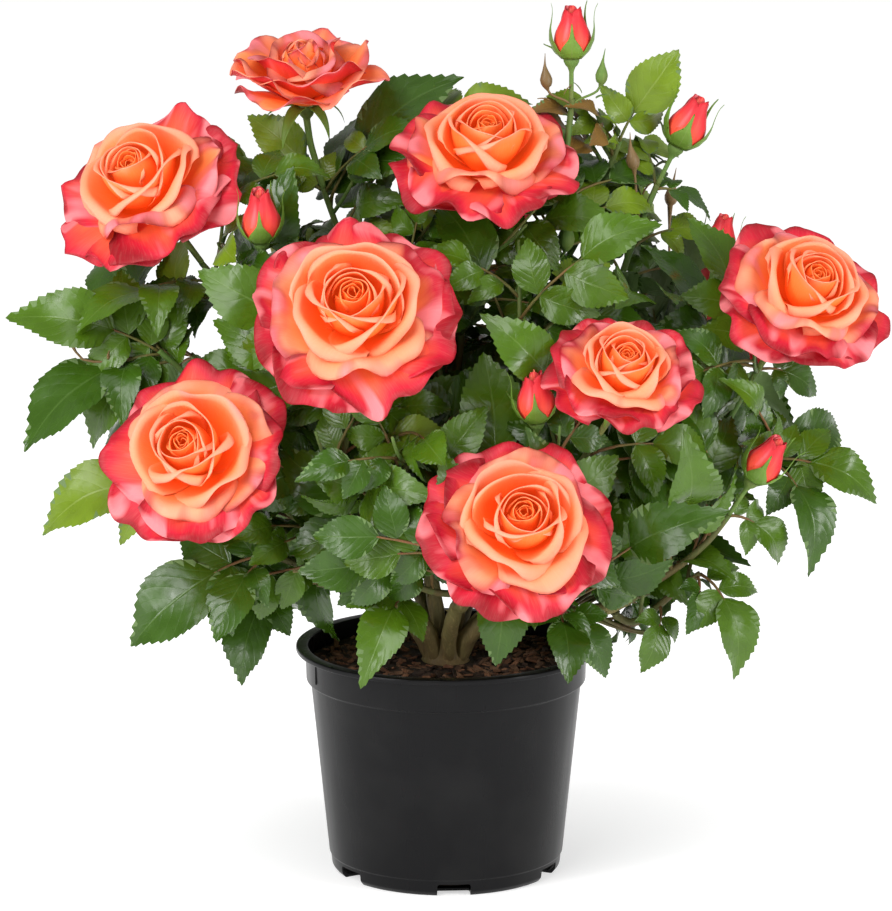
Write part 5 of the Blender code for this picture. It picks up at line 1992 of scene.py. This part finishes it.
@dataclass
class Space:
    """What is already in place, kept in cubic cells so that a new piece meets only its neighbours."""

    cell: float = 0.03
    cells: dict = field(default_factory=lambda: defaultdict(list))

    def keys(self, corners: Sequence[Vector]) -> list[tuple[int, int, int]]:
        """The cells that a box of points covers."""
        low = [floor(min(point[axis] for point in corners) / self.cell) for axis in range(3)]
        high = [floor(max(point[axis] for point in corners) / self.cell) for axis in range(3)]
        return [
            (x, y, z)
            for x in range(low[0], high[0] + 1)
            for y in range(low[1], high[1] + 1)
            for z in range(low[2], high[2] + 1)
        ]

    def add(self, tree: BVHTree, corners: Sequence[Vector], owner: str = "") -> None:
        """Takes in a piece, under the name of the stem that it grows from."""
        for key in self.keys(corners):
            self.cells[key].append((tree, owner))

    def free(self, tree: BVHTree, corners: Sequence[Vector], but: str = "-") -> bool:
        """Whether a piece touches nothing in place, apart from what the owner named carries."""
        met = set()
        for key in self.keys(corners):
            for other, owner in self.cells.get(key, ()):
                if owner == but or id(other) in met:
                    continue
                met.add(id(other))
                if tree.overlap(other):
                    return False
        return True

    def add_line(self, points: Points, radius: float, owner: str) -> None:
        """Takes in a limb as a three-sided sleeve round its line."""
        for first, second in zip(points, points[1:]):
            tree, corners = sleeve(first, second, radius)
            self.add(tree, corners, owner)

    def add_mesh(self, mesh: Mesh, owner: str = "") -> None:
        """Takes in a solid by its faces."""
        corners = [vert.co.copy() for vert in mesh.vertices]
        tree = BVHTree.FromPolygons(corners, [tuple(item.vertices) for item in mesh.polygons])
        self.add(tree, corners, owner)


def sleeve(first: Vector, second: Vector, radius: float) -> tuple[BVHTree, Points]:
    """A three-sided stand-in for one length of a limb, to test against.

    Args:
        first: one end.
        second: the other.
        radius: how far its corners stand off the line.

    Returns:
        The stand-in's faces and its corners.
    """
    direction = (second - first).normalized()
    side = direction.orthogonal().normalized()
    third = direction.cross(side)
    ring = [
        radius * (side * cos(angle) + third * sin(angle)) for angle in (0.0, 2.0944, 4.1888)
    ]
    corners = [first + spot for spot in ring] + [second + spot for spot in ring]
    return BVHTree.FromPolygons(corners, [(0, 1, 4, 3), (1, 2, 5, 4), (2, 0, 3, 5)]), corners


@dataclass
class LeafPlan:
    """One leaf that grew: its stalk line and where its leaflets go."""

    stalk: Points
    blades: list[tuple[Vector, Vector, Vector, float]]
    tone: Tone


@dataclass
class Foliage:
    """Grows the leaves of every shoot, the outer ones first and then one round of the spiral after another.

    A leaf that would touch another piece, or reach further than the solids of the crown do, is skipped.
    """

    lines: dict[str, Points]
    spiral: float = radians(144.0)
    rise: float = radians(38.0)
    long_leaf: float = 0.13
    short_leaf: float = 0.098
    low: float = 0.2
    high: float = 0.46
    middle: Vector = Vector((0.0, 0.01, 0.3))
    crown_low: Vector = Vector((-0.274, -0.203, 0.13))
    crown_high: Vector = Vector((0.276, 0.234, 0.528))
    turning: float = 0.07
    front_view: Vector = Vector((0.0, -3.2, 0.95))
    face_out: float = 0.9
    face_up: float = 0.45
    lowest_tip: float = 0.158
    inner_leaf: tuple = (0.52, ((0.39, 0.41), (0.19, 0.35)))
    outer_leaf: tuple = (0.32, ((0.22, 0.43), (0.07, 0.33)))
    side_angle: float = radians(60.0)
    width: float = 0.63
    clear: float = 0.0006
    fine_slack: float = 0.02
    first_slack: float = 0.05
    outer_slack: float = 0.06
    side_slack: float = 0.03
    fine_rounds: int = 27
    twig_rounds: int = 8
    low_rounds: int = 10
    twigs_from: float = 0.35
    low_twigs_from: float = 0.26
    reach_from: float = 0.985
    reach_step: float = 0.12
    reach_tries: int = 8
    reach_nudge: float = 0.0015
    nudges: tuple = (0.0, 0.5, -0.5, 1.0, -1.0, 1.6, -1.6, 2.4, -2.4, pi)
    bare: tuple = (0.098, 0.012, 0.19)
    core: Vector = Vector((0.214, 0.178, 0.19))
    core_low: float = 0.15
    core_high: float = 0.3
    core_foot: float = 0.78
    core_grown: float = 1.12
    outer_share: float = 0.9
    fewest: int = 3
    stem_sleeve: float = 0.0026
    stalk_sleeve: float = 0.0012
    twig_sleeve: float = 0.0016
    twig_foot: float = 0.0015
    twig_thinning: float = 0.0006
    stalk_radii: tuple = (0.00125, 0.00105, 0.00095, 0.00085, 0.00075, 0.0005)
    flush_from: float = 0.43
    per_piece: int = 640
    space: Space = field(default_factory=Space)
    plans: list[LeafPlan] = field(default_factory=list)
    twigs: list[Points] = field(default_factory=list)

    def map_crown(self) -> None:
        """Takes in the hard solids as obstacles, and the crown's solids as the reach to keep to."""
        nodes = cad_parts
        grown = ("shoot_", "bloom_", "bud_")
        crown = [name for name in nodes if name.startswith(grown) and name != "bud_union"]
        places = [vert.co for name in crown for vert in nodes[name].data.vertices]
        centres = [item.center for name in crown for item in nodes[name].data.polygons]
        self.near = KDTree(len(places) + len(centres))
        for index, place in enumerate(places + centres):
            self.near.insert(place, index)
        self.near.balance()
        faces = [(Vector(bloom.centre), bloom.face, bloom.radius * 0.97) for bloom in BLOOMS]
        faces += [(Vector(bud.centre), bud.way, bud.length * 0.5) for bud in BUDS]
        self.shown = []
        for centre, face, radius in faces:
            way = (self.front_view - centre).normalized() if centre.y < self.turning else face
            self.shown.append((centre, way, radius, min(1.0, abs(face.dot(way)) + 0.35)))
        for name, node in nodes.items():
            if not name.startswith("shoot_"):
                self.space.add_mesh(node.data)
        for name, line in self.lines.items():
            self.space.add_line(line, self.stem_sleeve, name)

    def leaf_length(self, height: float) -> float:
        """Leaves are longest low on the bush and shortest at its top."""
        share = max(0.0, min(1.0, (height - self.low) / (self.high - self.low)))
        return self.long_leaf + (self.short_leaf - self.long_leaf) * share

    def leaf_facing(self, point: Vector) -> Vector:
        """The way a leaf turns its upper face: out of the crown, and to the nearer of front and back."""
        side = -1.0 if point.y < self.turning else 1.0
        out = point - self.middle
        flat = Vector((out.x, out.y, max(out.z, 0.0))).normalized()
        return flat + Vector((0.0, side * self.face_out, self.face_up))

    def probe(self, root: Vector, forward: Vector, normal: Vector, length: float) -> tuple[BVHTree, Points]:
        """A leaflet's stand-in of four faces, to test against what is in place.

        Args:
            root: the leaflet's foot.
            forward: the way it points.
            normal: the way its upper face looks.
            length: its length.

        Returns:
            The stand-in's faces and its corners.
        """
        side = forward.cross(normal).normalized() * length * self.width * 0.5
        start = root + forward * 0.003
        shoulder = root + forward * length * 0.42 + normal * length * 0.08
        middle = root + forward * length * 0.46
        tip = root + forward * (length + self.clear)
        corners = [start, shoulder - side, tip, shoulder + side, middle]
        return BVHTree.FromPolygons(corners, [(0, 1, 4), (1, 2, 4), (2, 3, 4), (3, 0, 4)]), corners

    def hides_flower(self, point: Vector, share: float) -> bool:
        """Whether a point stands before a share of a flower or coloured bud, as it looks from there."""
        for centre, way, radius, squat in self.shown:
            off = point - centre
            ahead = off.dot(way)
            off -= way * ahead
            off.z /= squat
            if ahead > -0.25 * radius and off.length < radius * share:
                return True
        return False

    def in_core(self, point: Vector, grown: float) -> bool:
        """Whether a point lies in the full middle of the crown, which narrows towards the pot."""
        share = min(max((point.z - self.core_low) / (self.core_high - self.core_low), 0.0), 1.0)
        narrow = grown * (self.core_foot + (1.0 - self.core_foot) * share)
        off = point - self.middle - UP * 0.01
        halves = (self.core.x * narrow, self.core.y * narrow, self.core.z)
        return sum(abs(off[a] / halves[a]) ** 2.6 for a in range(3)) < 1.0

    def within_reach(self, points: Sequence[Vector], slack: float) -> bool:
        """Whether points lie in the crown's box and no further out than its solids, give or take the slack.

        Only the outer leaves, which have the most slack, may hang in the bare space over the pot's front
        or near a flower's face.
        """
        wide, deep, tall = self.bare
        inner = slack < self.outer_slack
        for point in points:
            if any(not self.crown_low[a] <= point[a] <= self.crown_high[a] for a in range(3)):
                return False
            if inner and abs(point.x) < wide and point.y < deep and point.z < tall:
                return False
            if self.hides_flower(point, 1.0 if inner else self.outer_share):
                return False
        if inner and not self.in_core(points[2], 1.0 if slack < self.side_slack else self.core_grown):
            return False
        return self.near.find(points[-1])[2] < slack and self.near.find(points[2])[2] < slack

    def grow_leaf(
        self, name: str, start: Vector, stem_way: Vector, tip: Vector, slack: float, rng: random.Random
    ) -> bool:
        """Grows one compound leaf from a stem to its tip, if there is room for it.

        Args:
            name: the shoot that it belongs to.
            start: where it leaves the stem.
            stem_way: the stem's direction there.
            tip: the tip of its end leaflet.
            slack: how far its leaflets may stand from the crown's solids.
            rng: its draws.

        Returns:
            Whether it grew.
        """
        way = tip - start
        length = way.length
        leaving = (way.normalized() + stem_way * 0.5 + UP * 0.25).normalized()
        arriving = (way.normalized() - UP * 0.25).normalized()
        line = arch(start, leaving, tip, arriving, 12)
        outward = self.leaf_facing(start)
        outward = outward + jitter(rng, 0.35)
        outer = slack >= self.outer_slack
        blade_from, side_places = self.outer_leaf if outer else self.inner_leaf
        stalk = [point_at(line, (blade_from + 0.01) * step / 4)[0] for step in range(5)]
        sleeves = [sleeve(first, second, self.stalk_sleeve) for first, second in zip(stalk, stalk[1:])]
        if not all(self.space.free(tree, corners, name) for tree, corners in sleeves):
            return False
        places = [(blade_from, 0.0, 0.0)]
        places += [(along, side, share) for along, share in side_places for side in (-1.0, 1.0)]
        blades, probes = [], []
        for along, side, share in places:
            root, forward = point_at(line, along)
            if side:
                size = length * share * rng.uniform(0.92, 1.06)
                normal = across(forward, outward)
                angle = -side * self.side_angle * rng.uniform(0.88, 1.12)
                forward = Matrix.Rotation(angle, 3, normal) @ forward
                forward = (forward - normal * rng.uniform(0.02, 0.24)).normalized()
                normal = across(forward, normal + jitter(rng, 0.22))
                root = root + forward * 0.0012
            else:
                size = (tip - root).length
                forward = (tip - root).normalized()
                normal = across(forward, outward)
            tree, corners = self.probe(root, forward, normal, size)
            if not (self.within_reach(corners, slack) and self.space.free(tree, corners)):
                if not side:
                    return False
                continue
            if any(tree.overlap(other) for other, _ in probes):
                continue
            blades.append((root, forward, normal, size))
            probes.append((tree, corners))
        if not outer and len(blades) < self.fewest:
            return False
        for tree, corners in probes + sleeves:
            self.space.add(tree, corners, name)
        self.plans.append(LeafPlan(stalk, blades, self.tone_of(start, rng)))
        return True

    def tone_of(self, point: Vector, rng: random.Random) -> Tone:
        """The tone of a leaf: fresher and redder near the top, deeper low down."""
        draw = rng.random()
        height = max(0.0, (point.z - 0.2) / 0.28)
        if point.z > self.flush_from:
            return Tone.FLUSHED if draw < 0.18 else Tone.FRESH if draw < 0.66 else Tone.MID
        if draw < 0.02 + 0.22 * height:
            return Tone.FRESH
        return Tone.MID if draw < 0.36 + 0.4 * height else Tone.DEEP

    def leaf_tip(self, point: Vector, direction: Vector, turn: float, length: float) -> Vector:
        """Where a leaf's tip comes to when the leaf rises and then droops.

        Args:
            point: where it leaves its stem.
            direction: the stem's direction there.
            turn: its angle round the stem.
            length: how far the tip stands off.

        Returns:
            The tip, no lower than leaves hang.
        """
        level = across(direction, Vector((cos(turn), sin(turn), 0.0)))
        way = level * cos(self.rise) + direction * sin(self.rise)
        way.z -= 0.25
        tip = point + way.normalized() * length
        tip.z = max(tip.z, self.lowest_tip)
        return tip

    def try_round(
        self,
        name: str,
        line: Points,
        along: float,
        base: float,
        scale: float,
        slack: float,
        rng: random.Random,
    ) -> bool:
        """Tries one leaf at a place on a line, nudged round the stem until it fits.

        Args:
            name: the shoot or cane that it belongs to.
            line: the line of the stem or twig.
            along: the place along it.
            base: the angle round it that is tried first.
            scale: the leaf's size over what its height asks for.
            slack: how far its leaflets may stand from the crown's solids.
            rng: its draws.

        Returns:
            Whether it grew.
        """
        point, direction = point_at(line, along)
        for nudge in self.nudges:
            length = self.leaf_length(point.z) * rng.uniform(0.92, 1.08) * scale
            tip = self.leaf_tip(point, direction, base + nudge, length)
            if self.grow_leaf(name, point, direction, tip, slack, rng):
                return True
        return False

    def grow(self) -> None:
        """Grows all the leaves."""
        self.map_crown()
        for name, shoot in SHOOTS.items():
            rng = random.Random(f"{SEED} {name} reach")
            for index, (x, y, z, *where) in enumerate(shoot.reach):
                along = where[0] if where else self.reach_from - self.reach_step * index
                point, direction = point_at(self.lines[name], along)
                for tries in range(self.reach_tries):
                    tip = Vector((x, y, z)) + jitter(rng, self.reach_nudge) * tries
                    if self.grow_leaf(name, point, direction, tip, self.outer_slack, rng):
                        break
        most = max(shoot.leaves for shoot in SHOOTS.values())
        for turn in range(most):
            for name, shoot in SHOOTS.items():
                if turn >= shoot.leaves:
                    continue
                rng = random.Random(f"{SEED} {name} {turn}")
                along = 0.92 - 0.62 * turn / max(shoot.leaves - 1, 1) + rng.uniform(-0.05, 0.05)
                base = radians(shoot.turn) + turn * self.spiral
                self.try_round(name, self.lines[name], along, base, 1.0, self.first_slack, rng)
        LOG.info("first leaves: %d", len(self.plans))
        for turn in range(self.fine_rounds):
            for name, shoot in SHOOTS.items():
                rng = random.Random(f"{SEED} {name} fine {turn}")
                along = 0.12 + 0.8 * ((turn * GOLDEN_SHARE + rng.uniform(0.0, 0.12)) % 1.0)
                base = radians(shoot.turn) + (turn + 5) * self.spiral
                scale = 0.88 - 0.014 * turn
                self.try_round(name, self.lines[name], along, base, scale, self.fine_slack, rng)
        LOG.info("after the finer rounds: %d", len(self.plans))
        for turn in range(self.twig_rounds):
            for name in SHOOTS:
                self.grow_twig(name, turn, self.twigs_from, self.fine_slack)
        for name in CANES:
            for turn in range(self.twig_rounds + 2):
                self.grow_twig(name, turn, self.twigs_from, self.fine_slack)
            for turn in range(self.low_rounds):
                self.grow_twig(name, turn, self.low_twigs_from, self.first_slack)
        LOG.info("after the twigs: %d", len(self.plans))

    def grow_twig(self, name: str, turn: int, first: float, slack: float) -> None:
        """Grows one fine side twig with its own small leaves.

        Args:
            name: the shoot or cane that it grows from.
            turn: its number.
            first: the lowest place along the limb.
            slack: how far its tip and leaves may stand from the crown's solids.
        """
        rng = random.Random(f"{SEED} {name} twig {turn} {first}")
        line = self.lines[name] if name in self.lines else CANES[name].line()
        along = first + 0.55 * ((turn * GOLDEN_SHARE + rng.uniform(0.0, 0.2)) % 1.0)
        point, direction = point_at(line, along)
        for nudge in (0.0, 1.3, -1.3, 2.6):
            angle = turn * self.spiral + nudge + rng.uniform(0.0, 1.0)
            level = across(direction, Vector((cos(angle), sin(angle), 0.1)))
            way = (level + direction * 0.7 + UP * 0.15).normalized()
            tip = point + way * rng.uniform(0.04, 0.065)
            if self.near.find(tip)[2] > slack:
                continue
            twig = arch(point, (way + level * 0.3).normalized(), tip, (way + UP * 0.3).normalized(), 6)
            sleeves = [sleeve(first, second, self.twig_sleeve) for first, second in zip(twig[1:], twig[2:])]
            if not all(self.space.free(tree, corners, name) for tree, corners in sleeves):
                continue
            grown = 0
            for step in range(4):
                spot = 0.98 - 0.22 * step
                base = angle + step * self.spiral
                grown += self.try_round(name, twig, spot, base, rng.uniform(0.58, 0.74), slack, rng)
            if grown:
                for tree, corners in sleeves:
                    self.space.add(tree, corners, name)
                self.twigs.append(twig)
                return

    def leaflets(self) -> dict[Tone, list[Mesh]]:
        """Every leaflet's mesh, by tone."""
        under = UNDERSIDE.material()
        made = {tone: [] for tone in Tone}
        for tone in Tone:
            upper = tone.value.material()
            forms = [form.build(upper, under) for form in LEAFLET_FORMS]
            unit = []
            for form in forms:
                flat = np.empty(len(form.vertices) * 3, np.float32)
                form.vertices.foreach_get("co", flat)
                unit.append(flat.reshape(-1, 3))
            rng = random.Random(f"{SEED} {tone.name} forms")
            for plan in self.plans:
                if plan.tone is not tone:
                    continue
                for root, forward, normal, size in plan.blades:
                    pick = rng.randrange(len(forms))
                    mesh = forms[pick].copy()
                    side = forward.cross(normal).normalized()
                    rows = np.array([side * size, forward * size, normal * size])
                    places = unit[pick] @ rows + np.array(root - forward * 0.0006)
                    mesh.vertices.foreach_set("co", places.astype(np.float32).ravel())
                    made[tone].append(mesh)
            for form in forms:
                bpy.data.meshes.remove(form)
        return made

    def build(self, stems: Stems) -> list[Object]:
        """Builds and dresses the stems, twigs, leaf stalks and leaves."""
        shoots = sorted(SHOOTS)
        pieces = []
        stem_meshes = [stems.mesh(name, line) for name, line in self.lines.items()]
        for twig in self.twigs:
            last = len(twig) - 1
            radii = [self.twig_foot - self.twig_thinning * index / last for index in range(last + 1)]
            stem_meshes.append(mesh_of(tube(twig, radii, 6), "twig"))
        mesh = joined(stem_meshes, "green_stems", stems.skin)
        pieces.append(piece_of(mesh, "green_stems", shoots))
        stalks = []
        for plan in self.plans:
            line = plan.stalk + [plan.stalk[-1] + plan.blades[0][1] * 0.004]
            stalks.append(mesh_of(tube(line, self.stalk_radii, 5), "leaf_stalk"))
        mesh = joined(stalks, "leaf_stalks", RACHIS_SKIN.material())
        pieces.append(piece_of(mesh, "leaf_stalks", shoots))
        for tone, meshes in self.leaflets().items():
            for start in range(0, len(meshes), self.per_piece):
                name = f"leaves_{tone.name.lower()}_{start // self.per_piece + 1}"
                group = joined(meshes[start : start + self.per_piece], name)
                pieces.append(piece_of(group, name, shoots))
        return pieces


# ---- The studio ------------------------


@dataclass(frozen=True)
class Softbox:
    """One square studio light: its place, what it points at, its side and its power."""

    name: str
    place: tuple
    aim: tuple
    side: float
    power: float
    tall: float = 0.0

    def build(self) -> None:
        """Hangs the light."""
        lamp = bpy.data.lights.new(self.name, "AREA")
        lamp.energy = self.power
        lamp.size = self.side
        if self.tall:
            lamp.shape = "RECTANGLE"
            lamp.size_y = self.tall
        obj = linked(self.name, lamp)
        obj.location = self.place
        obj.rotation_euler = (Vector(self.aim) - Vector(self.place)).to_track_quat("-Z", "Y").to_euler()


@dataclass
class Studio:
    """A pale sheet, soft lights and the camera."""

    sheet_radius: float = 14.0
    sky: float = 0.36
    camera_place: tuple = (0.0, -3.2, 0.9523)
    camera_pitch: float = 0.211
    lens: float = 205.73
    sensor: float = 36.0
    lights: tuple = (
        Softbox("key_light", (-1.3, -2.2, 2.3), (0.0, 0.0, 0.32), 1.8, 64.0),
        Softbox("fill_light", (1.9, -1.8, 1.3), (0.0, 0.0, 0.28), 1.2, 14.0),
        Softbox("top_light", (0.0, -0.5, 2.5), (0.0, 0.0, 0.3), 1.4, 9.0),
        Softbox("left_strip", (-1.2, -1.02, 0.5), (0.0, 0.0, 0.2), 0.26, 11.0, 1.1),
        Softbox("right_strip", (1.36, -0.85, 0.5), (0.0, 0.0, 0.2), 0.26, 11.0, 1.1),
    )

    def build(self) -> None:
        """Lays the sheet and sets the lights, the world and the camera."""
        bm = bmesh.new()
        bmesh.ops.create_circle(bm, cap_ends=True, segments=96, radius=self.sheet_radius)
        mesh = mesh_of(bm, "paper_sheet", StudioPaper().material())
        linked("paper_sheet", mesh)
        for light in self.lights:
            light.build()
        world = bpy.data.worlds.new("studio_air")
        world.use_nodes = True
        air = world.node_tree.nodes["Background"]
        air.inputs["Color"].default_value = (1.0, 1.0, 1.0, 1.0)
        air.inputs["Strength"].default_value = self.sky
        bpy.context.scene.world = world
        lens = bpy.data.cameras.new("camera")
        lens.lens = self.lens
        lens.sensor_width = self.sensor
        camera = linked("camera", lens)
        camera.location = self.camera_place
        camera.rotation_euler = (pi / 2.0 - self.camera_pitch, 0.0, 0.0)
        bpy.context.scene.camera = camera
        bpy.context.scene.view_settings.view_transform = "Standard"


def main() -> None:
    """Builds the plant piece by piece and reports each one."""
    logging.basicConfig(level=logging.INFO, format="%(message)s")
    pot = Pot()
    soil = Soil(pot)
    pieces = [pot.build(), *soil.build(), BudUnion(soil).build()]
    cane_skin = CANE_SKIN.material()
    pieces += [cane.build(cane_skin) for cane in CANES.values()]
    stems = Stems(STEM_SKIN.material())
    lines = {name: stems.line(shoot) for name, shoot in SHOOTS.items()}
    skins = (PetalSkin().material(), PetalBack().material())
    green = Calyx(STALK_SKIN.material(), SEPAL_SKIN.material())
    for bloom in BLOOMS:
        pieces += bloom.build(skins, green)
    for bud in BUDS:
        pieces += bud.build(lines, skins, green)
    shut = joined([bud.mesh(lines, green) for bud in CLOSED_BUDS], "shut_buds")
    pieces.append(piece_of(shut, "shut_buds"))
    foliage = Foliage(lines)
    foliage.grow()
    pieces += foliage.build(stems)
    for piece in pieces:
        LOG.info("%s: %d faces", piece.name, len(piece.data.polygons))
    Studio().build()


if __name__ == "__main__":
    main()
